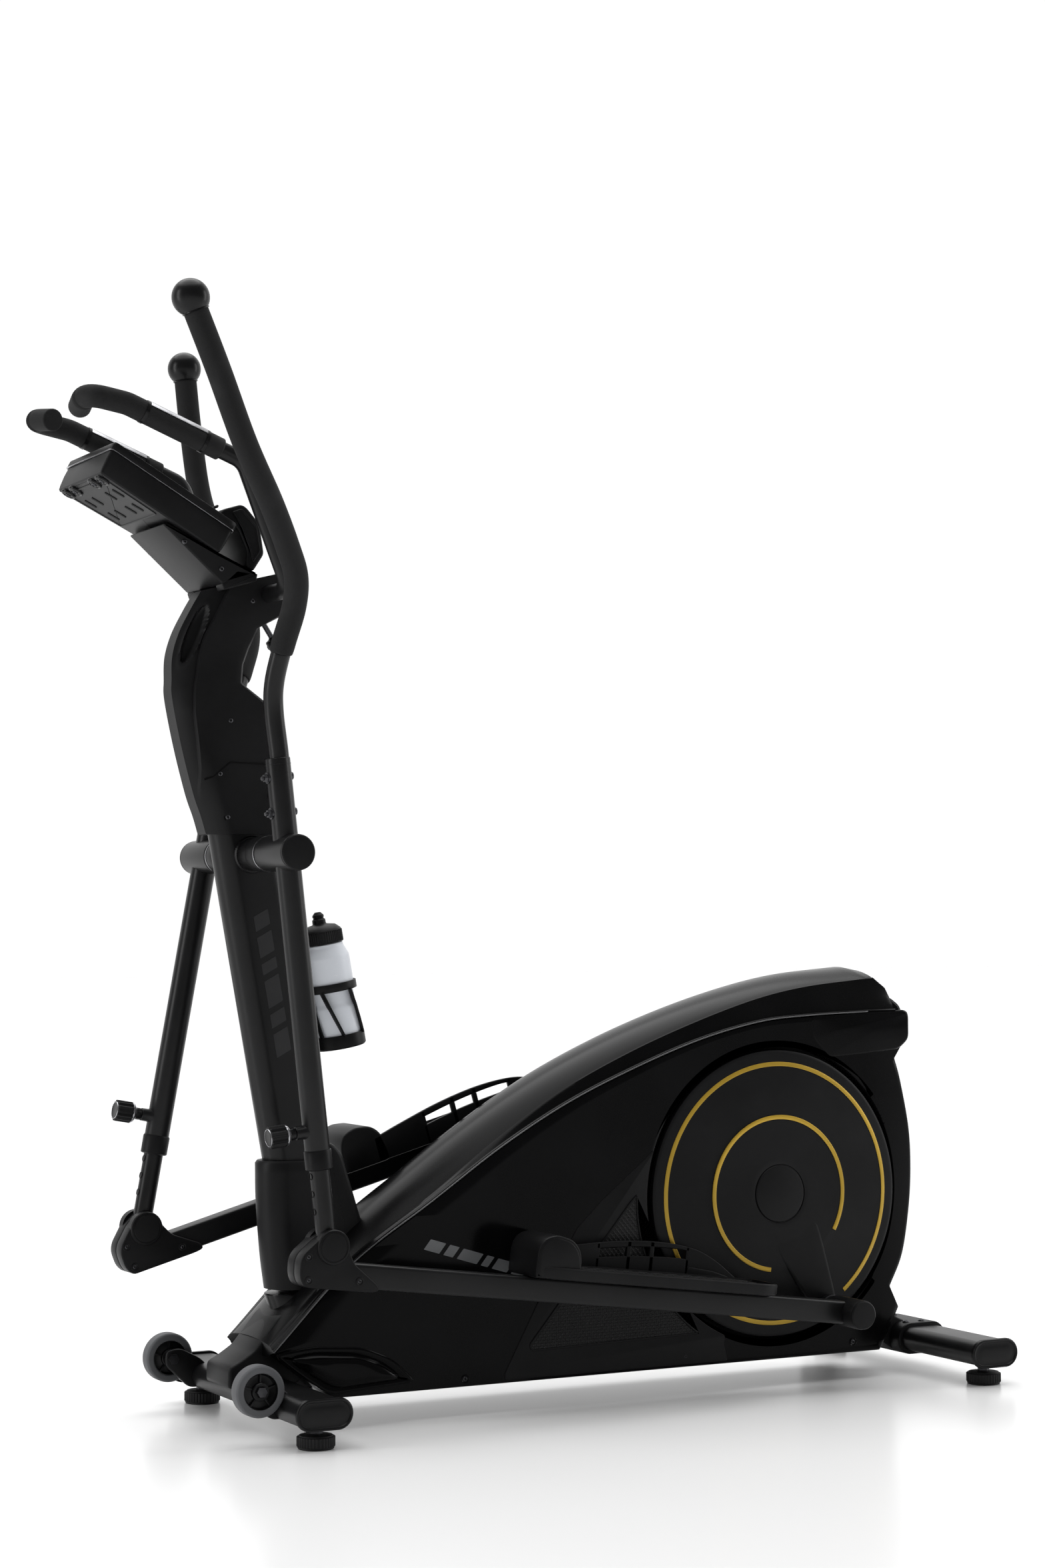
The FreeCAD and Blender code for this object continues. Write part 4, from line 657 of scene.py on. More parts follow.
@dataclass(frozen=True)
class Plane:
    """A flat frame: an outline's numbers run along right and rise, and levels along normal."""

    origin: tuple = (0.0, 0.0, 0.0)
    right: tuple = (1.0, 0.0, 0.0)
    rise: tuple = (0.0, 0.0, 1.0)
    normal: tuple = (0.0, 1.0, 0.0)

    def point(self, flat: Array, level: float | Array = 0.0) -> Array:
        """Points in space: origin + u right + v rise + level normal."""
        flat = np.asarray(flat, dtype=float)
        level = np.broadcast_to(np.asarray(level, dtype=float), flat.shape[:-1])
        return (np.array(self.origin) + flat[..., :1] * np.array(self.right) + flat[..., 1:2]
                * np.array(self.rise) + level[..., None] * np.array(self.normal))


SIDE_PLANE = Plane()


def tube(path: Array, radius: float, edge: float = 1.0, count: int = 32) -> Shell:
    """A round bar with softened ends along a path."""
    return Shell().sweep(path, circle(radius, count), edge=edge)


def dome_screw(shell: Shell, centre: Array, axis: Array, radius: float = 4.0, mark: int = 1) -> Shell:
    """A domed screw head with a hexagonal-looking socket: a turned profile that dips in the middle."""
    profile = points((0, -radius), (radius * 0.9, -radius), (radius, 0.0), (radius * 0.97, radius * 0.18),
                     (radius * 0.8, radius * 0.42), (radius * 0.5, radius * 0.55),
                     (radius * 0.44, radius * 0.5), (radius * 0.40, -radius * 0.1), (0, -radius * 0.1))
    return shell.lathe(profile, centre, axis, 12, mark)


# ---------------------------------------------------------------- the linkage, read from the frame
def joint_place(name: str) -> Array:
    """Where a joint is, in millimetres from the front feet's line."""
    joint = next(joint for joint in frame["joints"] if joint["name"] == name)
    return np.array(joint["pos_m"]) * 1000 + np.array([FRONT_OFFSET, 0.0, 0.0])


CRANK = joint_place("crank_spin")
PIVOT = joint_place("arm_swing_left") * np.array([1.0, 0.0, 1.0])
CRANK_THROW, CRANK_ANGLE, BAR_SAG = 201.4, -64.44, 38.0


@dataclass
class Linkage:
    """The places on one side of the machine: pivot, knee, crank pin, and the arm's and bar's axes."""

    side: Side

    def __post_init__(self) -> None:
        """Work the arm's and the bar's directions out from the joints."""
        self.knee = joint_place("knee_" + self.side.word) * np.array([1.0, 0.0, 1.0])
        angle = math.radians(CRANK_ANGLE + (0 if self.side is Side.LEFT else 180))
        self.pin = CRANK + CRANK_THROW * np.array([math.cos(angle), 0.0, math.sin(angle)])
        self.arm_up = unit(PIVOT - self.knee)
        self.arm_back = np.array([self.arm_up[2], 0.0, -self.arm_up[0]])
        self.bar_ahead = unit(self.knee - BAR_SAG * UP - self.pin)
        self.bar_up = np.array([-self.bar_ahead[2], 0.0, self.bar_ahead[0]]) * -1
        self.out = ACROSS * self.side.value

    def arm(self, back: float, out: float, up: float) -> Array:
        """A point on the arm: behind, out from the middle plane, and above the pivot."""
        return PIVOT + self.arm_back * back + self.out * out + self.arm_up * up

    def arm_line(self, rows: Array) -> Array:
        """Many arm points at once, rows of (back, out, up)."""
        return PIVOT + rows @ np.stack([self.arm_back, self.out, self.arm_up])

    def bar(self, ahead: float, out: float, up: float) -> Array:
        """A point on the bar: ahead of, out from, and above the knee."""
        return self.knee + self.bar_ahead * ahead + self.out * out + self.bar_up * up

    def bar_plane(self) -> Plane:
        """The bar's side plane: right is ahead, rise is up, levels are distances out."""
        return Plane(tuple(self.knee), tuple(self.bar_ahead), tuple(self.bar_up), tuple(self.out))


@dataclass
class SwingingArm:
    """One moving arm: outer tube with its pivot hub, bent handle, foam grip and ball."""

    at: Linkage
    out: float = 155.3
    tube_radius: float = 18.0
    handle_radius: float = 14.0
    foam_radius: float = 17.2
    ball_radius: float = 25.8
    top: float = 134.0
    foot: float = -435.0
    hub_radius: float = 25.8
    bolt_heights: tuple = (107.0, 57.0)
    grip_start: float = 275.0

    def handle_path(self) -> Array:
        """The handle's middle line from inside the outer tube to the ball, as a smooth curve."""
        bends = points((1, self.out, 40), (3, self.out, 80), (3, self.out, 140), (2, self.out, 200),
                       (4, 163.4, 240), (15, 181.3, 290), (27.5, 204, 340), (26.5, 224, 380),
                       (10.5, 242.5, 420), (-18.7, 267.9, 480), (-58, 291, 560), (-90, 300.5, 660),
                       (-119, 301, 756))
        return self.at.arm_line(flowing(bends, 150))

    def build(self) -> None:
        """Make the arm's four pieces."""
        at, word = self.at, self.at.side.word
        body = "arm_" + word
        self.build_tube(body, word)
        path = self.handle_path()
        heights = (path - PIVOT) @ at.arm_up
        handle = Shell().sweep(path[heights < self.grip_start + 8], circle(self.handle_radius), edge=1.0)
        handle.piece("handle_tube_" + word, body, POWDER, replaces=("handle_" + word,), slot="painted_tube")
        foam_line = path[(heights > self.grip_start) & (heights < 745)]
        lip = np.clip(np.arange(len(foam_line)) / 3.0, 0, 1)
        grip = Shell().sweep(foam_line, circle(self.foam_radius, 40), scale=0.955 + 0.045
                             * np.sin(lip * math.pi / 2), edge=2.0)
        grip.piece("foam_grip_" + word, body, FOAM, replaces=("grip_" + word,), slot="foam")
        self.build_ball(path, body, word)

    def build_ball(self, path: Array, body: str, word: str) -> None:
        """The ball: a sphere cut square over the foam, with a short skirt and a parting groove."""
        centre, way = path[-1], unit(path[-1] - path[-4])
        radius = self.ball_radius
        angle = np.linspace(math.radians(-44), math.pi / 2, 22)
        sphere = np.stack([radius * np.cos(angle), radius * np.sin(angle)], axis=1)
        skirt = points((self.foam_radius - 1.5, -15.5), (radius * 0.70, -20.0), (radius * 0.745, -19.4))
        Shell().lathe(np.vstack([points((0, -15.5)), skirt, sphere]), centre, way, 56).piece(
            "ball_end_" + word, body, SMOOTH, slot="foam")

    def build_tube(self, body: str, word: str) -> None:
        """Outer tube, top collar seam, pivot hub with its cap, bolts with nuts, bottom bush and pin boss."""
        at, shell = self.at, Shell()
        line = np.stack([at.arm(0, self.out, self.foot), at.arm(0, self.out, self.foot / 2),
                         at.arm(0, self.out, 20), at.arm(0, self.out, self.top)])
        shell.sweep(line, circle(self.tube_radius, 44), edge=1.6)
        hub = softened(points((0, 93.4), (24.6, 93.4), (24.6, 97), (self.hub_radius, 98),
                              (self.hub_radius, 192.5), (24.8, 193.6), (24.8, 195.4), (0, 195.4)), 0.9, 4)
        shell.lathe(self._closed(hub), PIVOT, at.out)
        cap = points((0, 194.0), (24.4, 194.2), (25.2, 195.2), (25.2, 196.6), (23.6, 198.0), (17, 198.5),
                     (0, 198.65))
        shell.lathe(cap, PIVOT, at.out, mark=1)
        for lift in self.bolt_heights:
            rear, front = at.arm(self.tube_radius, self.out, lift), at.arm(-self.tube_radius, self.out, lift)
            dome_screw(shell, rear, at.arm_back, 6.2, mark=2)
            nut = points((0, -3), (6.4, -3), (6.4, 4.4), (5.6, 5.6), (0, 5.6))
            shell.lathe(points((0, -3), (8.2, -3), (8.2, 0.9), (0, 0.9)), front, -at.arm_back, 24, 2)
            shell.lathe(nut, front, -at.arm_back, 6, 2)
            shell.lathe(points((0, 3), (3.1, 3), (3.1, 8.6), (2.4, 9.4), (0, 9.4)), front,
                        -at.arm_back, 14, 2)
        bush = points((0, -12), (17.0, -12), (19.4, -10.5), (19.6, 14), (18.6, 16), (0, 16))
        shell.lathe(bush, at.arm(0, self.out, self.foot), at.arm_up, mark=1)
        boss = points((0, self.tube_radius - 4), (11.5, self.tube_radius - 4), (9.4, self.tube_radius + 2.5),
                      (9.2, 30.2), (8.6, 30.9), (0, 30.9))
        shell.lathe(boss, at.arm(0, self.out, -392.0), -at.arm_back, 32)
        seam = points((17.6, -0.8), (18.35, -0.5), (18.35, 0.5), (17.6, 0.8))
        shell.lathe(seam, at.arm(0, self.out, self.top - 9), at.arm_up, 44)
        shell.piece("arm_outer_" + word, body, POWDER, SATIN, BOLT, replaces=("arm_" + word,),
                    slot="painted_tube")

    @staticmethod
    def _closed(profile: Array) -> Array:
        """A softened profile put back on its axis at both ends."""
        keep = profile[(profile[:, 0] > 0.5)]
        return np.vstack([[0.0, keep[0, 1]], keep, [0.0, keep[-1, 1]]])


@dataclass
class TelescopicLeg:
    """The inner leg tube with its row of pin holes, and the sprung pull knob that locks it."""

    at: Linkage
    out: float = 155.3
    radius: float = 14.25
    holes: tuple = (-505.0, -480.0, -455.0)

    def build(self) -> None:
        """Make the leg and the knob."""
        at, word = self.at, self.at.side.word
        shell = Shell().sweep(np.stack([at.arm(0, self.out, up) for up in (-560, -500, -420, -335)]),
                              circle(self.radius, 36), edge=1.5)
        for height in self.holes:
            rim = points((0, -2.5), (5.0, -2.0), (5.0, 0.28), (4.2, 0.34), (3.9, -0.9), (0, -1.0))
            shell.lathe(rim, at.arm(-self.radius, self.out, height), -at.arm_back, 18, 1)
        shell.piece("leg_tube_" + word, "leg_" + word, POWDER, DEEP, replaces=("leg_" + word,),
                    slot="painted_tube")
        self.build_knob(word)

    def build_knob(self, word: str) -> None:
        """The knob: radius 15 + 0.9 cos 14a gives its ribs; a ring, a collar and a stem lie under it."""
        at = self.at
        base, way = at.arm(0, self.out, -392.0), -at.arm_back
        angle = np.linspace(0, 2 * math.pi, 112, endpoint=False)
        ribbed = (15.0 + 0.9 * np.cos(14 * angle))[:, None] * np.stack([np.cos(angle), np.sin(angle)], axis=1)
        shell = Shell().sweep(np.stack([base + way * along for along in (46.5, 50, 66, 71)]), ribbed,
                              edge=1.6)
        shell.lathe(points((0, 40), (9, 40), (13.6, 43.2), (15.2, 45.6), (15.2, 47.4), (0, 47.4)), base,
                    way, 48, 1)
        shell.lathe(points((0, 15.2), (3.9, 15.2), (3.9, 31.8), (8.2, 32), (8.8, 33), (8.8, 41), (0, 41)),
                    base, way, 32, 2)
        shell.lathe(points((0, 69), (11.8, 69), (12.2, 71.2), (11.2, 72.4), (9.8, 72.0), (0, 72.4)), base,
                    way, 40, 2)
        shell.lathe(points((11.9, 70.4), (12.6, 71.3), (12.2, 72.2), (11.4, 71.6)), base, way, 40, 1)
        shell.piece("pull_knob_piece_" + word, "pull_knob_" + word, SATIN, STEEL, SMOOTH,
                    replaces=("pull_knob_" + word,), slot="satin_panel")


@dataclass
class PedalBar:
    """One pedal bar: rectangular tube, crank pin hub, two-part knuckle cover and pedal."""

    at: Linkage
    out: float = 155.3
    tall: float = 35.0
    wide: float = 30.0
    knuckle_low: float = 127.5
    knuckle_high: float = 181.5
    span: float = 886.8

    def build(self) -> None:
        """Make the tube, the knuckle and the pedal."""
        word = self.at.side.word
        self.build_tube(word)
        self.build_knuckle(word)
        Pedal(self.at, self.span).build()

    def build_tube(self, word: str) -> None:
        """Tube with a soft-cornered section, hub with end cap and bolt, and the knee's ears and bolt."""
        at, shell = self.at, Shell()
        half_tall, half_wide = self.tall / 2, self.wide / 2
        section = softened(points((-half_wide, -half_tall), (half_wide, -half_tall), (half_wide, half_tall),
                                  (-half_wide, half_tall)), 5.0, 5)
        line = np.stack([at.bar(ahead, self.out, -BAR_SAG) for ahead in (36, 0, -400, -self.span + 12)])
        shell.sweep(line, section, hint=ACROSS, edge=1.0)
        hub = points((0, 98.2), (19.5, 98.2), (20.5, 99.2), (20.5, 122), (22.6, 124), (22.6, 193),
                     (21.8, 194.4), (0, 194.4))
        shell.lathe(hub, at.pin, at.out)
        shell.lathe(points((0, 193), (21.4, 193.2), (22.2, 194.4), (22.0, 196.6), (20.0, 198.2), (12, 198.7),
                           (0, 198.8)),
                    at.pin, at.out, mark=1)
        shell.lathe(points((20.2, 108), (21.6, 108.6), (21.6, 111.4), (20.2, 112)), at.pin, at.out, mark=2)
        for level in (self.out - 18.5, self.out + 18.5):
            ear = softened(points((24, -50), (-30, -50), (-20, 6), (0, 18), (20, 6)), 9, 5)
            shell.slab(ear, level - 2, level + 2, 0.6, at.bar_plane())
        shell.lathe(points((0, 130.9), (8, 131), (8, 180), (0, 180)), at.knee, at.out, 28, 2)
        shell.piece("bar_tube_" + word, "bar_" + word, POWDER, SATIN, BOLT, replaces=("pedal_bar_" + word,),
                    slot="painted_tube")

    def build_knuckle(self, word: str) -> None:
        """Two half shells, each a slab with a raised round cap, a recessed ring and two screws."""
        at, plane = self.at, self.at.bar_plane()
        outline = softened(points((20, 12), (43, -12), (47.5, -24), (45.5, -46), (37, -58.6), (-64, -58.8),
                                  (-78, -57), (-76, -48), (-36, -21), (-26, -4), (-18, 18), (0, 23)), 7.0, 5)
        middle = (self.knuckle_low + self.knuckle_high) / 2
        for number, (low, high, edge) in enumerate(((self.knuckle_low + 3.5, middle - 0.25, -1),
                                                    (middle + 0.25, self.knuckle_high - 3.5, 1))):
            shell = Shell().slab(outline, low, high, 2.2, plane)
            face = low if edge < 0 else high
            way = at.out * edge
            start = at.knee + at.out * face
            cap = points((0, -12), (24.6, -12), (24.8, 1.2), (23.6, 2.9), (21.4, 3.4), (20.8, 2.7),
                         (20.0, 2.7), (19.2, 3.4), (12, 3.8), (0, 3.9))
            shell.lathe(cap, start, way, 64)
            for ahead, up in ((36, -16), (-46, -44), (32, -48)):
                place = at.bar(ahead, face, up)
                shell.lathe(points((4.4, -0.6), (5.9, -0.4), (5.9, 0.5), (5.2, 0.8), (4.4, 0.3)),
                            place, way, 20)
                dome_screw(shell, place - way * 1.2, way, 3.4)
            shell.piece("knuckle_%s_%s" % (("inner", "outer")[number], word), "bar_" + word, SATIN, BOLT,
                        replaces=("knuckle_" + word,), slot="satin_panel")


@dataclass
class Pedal:
    """A foot plate with a studded tread, a rounded toe wall and a slotted guard along its inner edge."""

    at: Linkage
    span: float
    front: float = 316.0
    length: float = 424.0
    height_share: float = 1.15
    inner: float = 104.2
    outer: float = 199.8
    base: float = 17.9
    thick: float = 18.5
    slots: tuple = ((150, 196), (204, 236), (244, 300))

    def build(self) -> None:
        """Make the plate with its toe and guard, and the tread's studs and ribs."""
        word = self.at.side.word
        origin = self.at.bar(-self.front, 0, -BAR_SAG)
        self.side = Plane(tuple(origin), tuple(-self.at.bar_ahead), tuple(self.at.bar_up), tuple(self.at.out))
        self.flat = Plane(tuple(origin), tuple(-self.at.bar_ahead), tuple(self.at.out), tuple(self.at.bar_up))
        body = Shell()
        self.add_plate(body)
        self.add_toe(body)
        self.add_guard(body)
        body.piece("pedal_body_" + word, "bar_" + word, SATIN, DEEP, BOLT, replaces=("pedal_" + word,),
                   slot="pedal")
        tread = Shell()
        self.add_tread(tread)
        tread.piece("pedal_tread_" + word, "bar_" + word, TREAD, slot="pedal")

    def add_plate(self, shell: Shell) -> None:
        """Plate: a plan outline with rounded rear corners, given a rim that stands over the tread."""
        low, top = self.base, self.base + self.thick
        plan = softened(points((4, self.inner), (self.length, self.inner + 4), (self.length, self.outer - 12),
                               (self.length - 26, self.outer), (60, self.outer), (4, self.outer - 6)), 14, 6)
        rows = [(8, low), (1.5, low + 1.5), (0, low + 4), (0, top - 2), (1.2, top - 0.4), (2.6, top),
                (4.6, top - 0.2), (6.0, top - 4.6), (9.0, top - 5.0)]
        shell.dish(plan, rows, self.flat)
        ribs = [softened(points((x, self.inner + 6), (x + 3, self.inner + 6), (x + 3, self.outer - 8),
                                (x, self.outer - 8)), 0.8, 2) for x in np.arange(70, 400, 54)]
        for rib in ribs:
            shell.slab(rib, low - 0.2, low + 6, 0.5, self.flat, mark=0)

    def add_toe(self, shell: Shell) -> None:
        """Toe cup: a side curve from the plate up and over, swept across with its ends closed and rounded."""
        low = self.base + 0.4
        curve = softened(points((76, low + 17), (72, low + 38), (58, low + 51), (30, low + 56),
                                (10, low + 50), (1.5, low + 36), (0.5, low), (8, low), (12, low + 30),
                                (24, low + 45), (50, low + 43), (62, low + 30), (66, low + 14)), 9, 6)
        flat, lift = np.array([1.0, self.height_share]), np.array([0.0, low * (1 - self.height_share)])
        shell.slab(curve * flat + lift, self.inner + 0.5, self.outer - 6, 3.0, self.side)
        corner = softened(points((0.8, low), (1.5, low + 36), (10, low + 50), (30, low + 55.5),
                                 (58, low + 50), (72, low + 36), (78, low + 12), (78, low)), 9, 6)
        shell.slab(corner * flat + lift, self.inner, self.inner + 7, 3.0, self.side)
        shell.slab(corner * flat * 0.95 + lift + points((1.5, 2.5)), self.outer - 14, self.outer - 5.5, 3.5,
                   self.side)

    def add_guard(self, shell: Shell) -> None:
        """Guard: a thin wall that rises and falls, parted by three slots into a rail, posts and a sill."""
        low = self.base + 2
        rise = flowing(points((60, 52), (110, 60), (180, 69), (250, 72.5), (310, 68), (350, 56), (385, 38),
                              (412, 22)), 46)
        sill = flowing(points((60, 36), (140, 45), (220, 52), (300, 53), (330, 46)), 30)
        cap = flowing(points((60, 46), (140, 56), (220, 63.5), (290, 64.5), (330, 57)), 30)
        for line in (rise, sill, cap):
            line[:, 1] = low + (line[:, 1] - low) * self.height_share
        start, stop = self.slots[0][0], self.slots[-1][1]
        shell.slab(self._between(rise, cap, start - 6, stop + 6, low), self.inner, self.inner + 6, 1.6,
                   self.side)
        shell.slab(self._between(sill, None, start - 6, stop + 6, low), self.inner, self.inner + 6, 1.2,
                   self.side)
        ends = ((58, start), (stop, 414)) + tuple((self.slots[i][1], self.slots[i + 1][0])
                                                  for i in range(len(self.slots) - 1))
        for left, right in ends:
            shell.slab(self._between(rise, None, left, right, low), self.inner, self.inner + 6, 1.4,
                       self.side)
        shell.slab(softened(points((300, low), (406, low), (398, low + 12), (352, low + 23),
                                   (306, low + 27)), 6, 4),
                   self.inner, self.inner + 7.4, 1.5, self.side)

    @staticmethod
    def _between(top: Array, bottom: Array | None, left: float, right: float, low: float) -> Array:
        """A closed outline between two height curves over a span, or over a flat bottom at low."""
        x = np.linspace(left, right, max(4, int((right - left) / 7)))
        upper = np.interp(x, top[:, 0], top[:, 1])
        lower = np.full_like(x, low) if bottom is None else np.interp(x, bottom[:, 0], bottom[:, 1])
        return np.vstack([np.stack([x, lower], axis=1), np.stack([x, upper], axis=1)[::-1]])

    def add_tread(self, shell: Shell) -> None:
        """Tread: long ribs along the plate and rows of small lozenge studs between them."""
        top = self.base + self.thick - 5.0
        for across in np.linspace(self.inner + 14, self.outer - 14, 6):
            strip = softened(points((76, across - 1.6), (self.length - 22, across - 1.6),
                                    (self.length - 22, across + 1.6), (76, across + 1.6)), 1.4, 3)
            shell.slab(strip, top - 0.4, top + 2.4, 0.7, self.flat)
        lozenge = points((-9, 0), (-6, -3), (6, -3), (9, 0), (6, 3), (-6, 3))
        for row, across in enumerate(np.linspace(self.inner + 14, self.outer - 14, 6)[:-1] + 6.8):
            for along in np.arange(88 + (row % 2) * 13, self.length - 34, 26):
                shell.slab(lozenge + points((along, across)), top - 0.3, top + 3.4, 0.8, self.flat)


# ---------------------------------------------------------------- crank discs
@dataclass
class CrankDisc:
    """A dished disc in its well, with a raised spoke over the crank arm, two gold lines and a hub cap."""

    at: Linkage
    radius: float = 221.6
    well: float = 227.6
    face: float = 87.0
    lines: tuple = ((200.0, 21.5), (118.0, 33.5))
    line_wide: float = 6.6

    def level(self, radius: Array) -> Array:
        """Height of the face over the radius: a raised middle, a step and a shallow cone outside."""
        cone = self.face - 1 + (self.radius - radius) / (self.radius - 118) * 8.4
        inner = self.face + 8.2 + (118 - radius) / 72 * 2.6
        return np.where(radius > 118, cone, inner)

    def build(self) -> None:
        """Make the disc with its spoke, the gold lines and the bolt under the hub cap's rim."""
        at, word = self.at, self.at.side.word
        shell = Shell()
        rings = np.concatenate([np.linspace(47, 112, 10), np.linspace(114, 210, 16)])
        face = np.stack([rings, self.level(rings)], axis=1)
        rim = points((216, self.face - 0.7), (219.6, self.face - 1.2), (221.2, self.face - 2.4),
                     (self.radius, self.face - 9), (218.6, self.face - 9.5), (218.6, self.face - 4),
                     (0, self.face - 4))
        hub = points((0, self.face + 12.2), (40.5, self.face + 12.0), (43.2, self.face + 11.3),
                     (44.2, self.face + 10.2), (44.4, self.face + 9.2), (45.4, self.face + 9.2),
                     (45.8, self.face + 10.5))
        shell.lathe(np.vstack([hub, face, rim]), CRANK, at.out, 144)
        self.add_spoke(shell)
        shell.piece("disc_" + word, "crank", SATIN, BOLT, replaces=("crank_disc_" + word,), slot="disc")
        self.build_lines(word)

    def spoke_plane(self) -> Plane:
        """A plane on the disc: right runs from the hub to the crank pin."""
        way = unit(self.at.pin - CRANK)
        return Plane(tuple(CRANK), tuple(way), tuple(np.cross(self.at.out, way)), tuple(self.at.out))

    def add_spoke(self, shell: Shell) -> None:
        """Spoke: a raised, tapering tongue from inside the inner line to a round boss at the crank pin."""
        plane = self.spoke_plane()
        outline = softened(points((36, -45), (88, -41), (168, -27), (205, -19.5), (217, -8), (217, 8),
                                  (205, 19.5), (168, 27), (88, 41), (36, 45)), 14, 6)
        rows = [(-2.2, self.face - 1), (-1.2, self.face + 5), (0, self.face + 8.2), (1.6, self.face + 9.3),
                (5, self.face + 9.7)]
        low = [(1.0, self.face - 3)]
        shell.dish(outline, low + rows, plane)
        boss = points((0, self.face), (15.9, self.face), (15.9, self.face + 9.9), (14.6, self.face + 10.3),
                      (0, self.face + 10.4))
        shell.lathe(boss, self.at.pin, self.at.out, 40, 1)

    def build_lines(self, word: str) -> None:
        """Gold lines: bands half a width each side of their mean radius, open where the spoke passes."""
        shell, plane = Shell(), self.spoke_plane()
        for middle, gap in self.lines:
            start = math.radians(gap * 118 / middle if middle > 150 else gap)
            turn = np.linspace(start, 2 * math.pi - start, 150)
            inner, outer = middle - self.line_wide / 2, middle + self.line_wide / 2
            section = np.array([[inner, -0.6], [inner, 0.7], [inner + 0.5, 1.0], [outer - 0.5, 1.0],
                                [outer, 0.7], [outer, -0.6]])
            level = self.level(np.clip(section[:, 0], 119, None) if middle > 118 else section[:, 0])
            if middle < 150:
                level = np.full(len(section), self.face + 8.4)
            height = level + section[:, 1]
            flat = section[None, :, 0, None] * np.stack([np.cos(turn), np.sin(turn)], axis=1)[:, None]
            shell.grid(plane.point(flat, np.broadcast_to(height, flat.shape[:2])))
        shell.piece("gold_lines_" + word, "crank", GOLD, replaces=("disc_trim",), slot="trim")


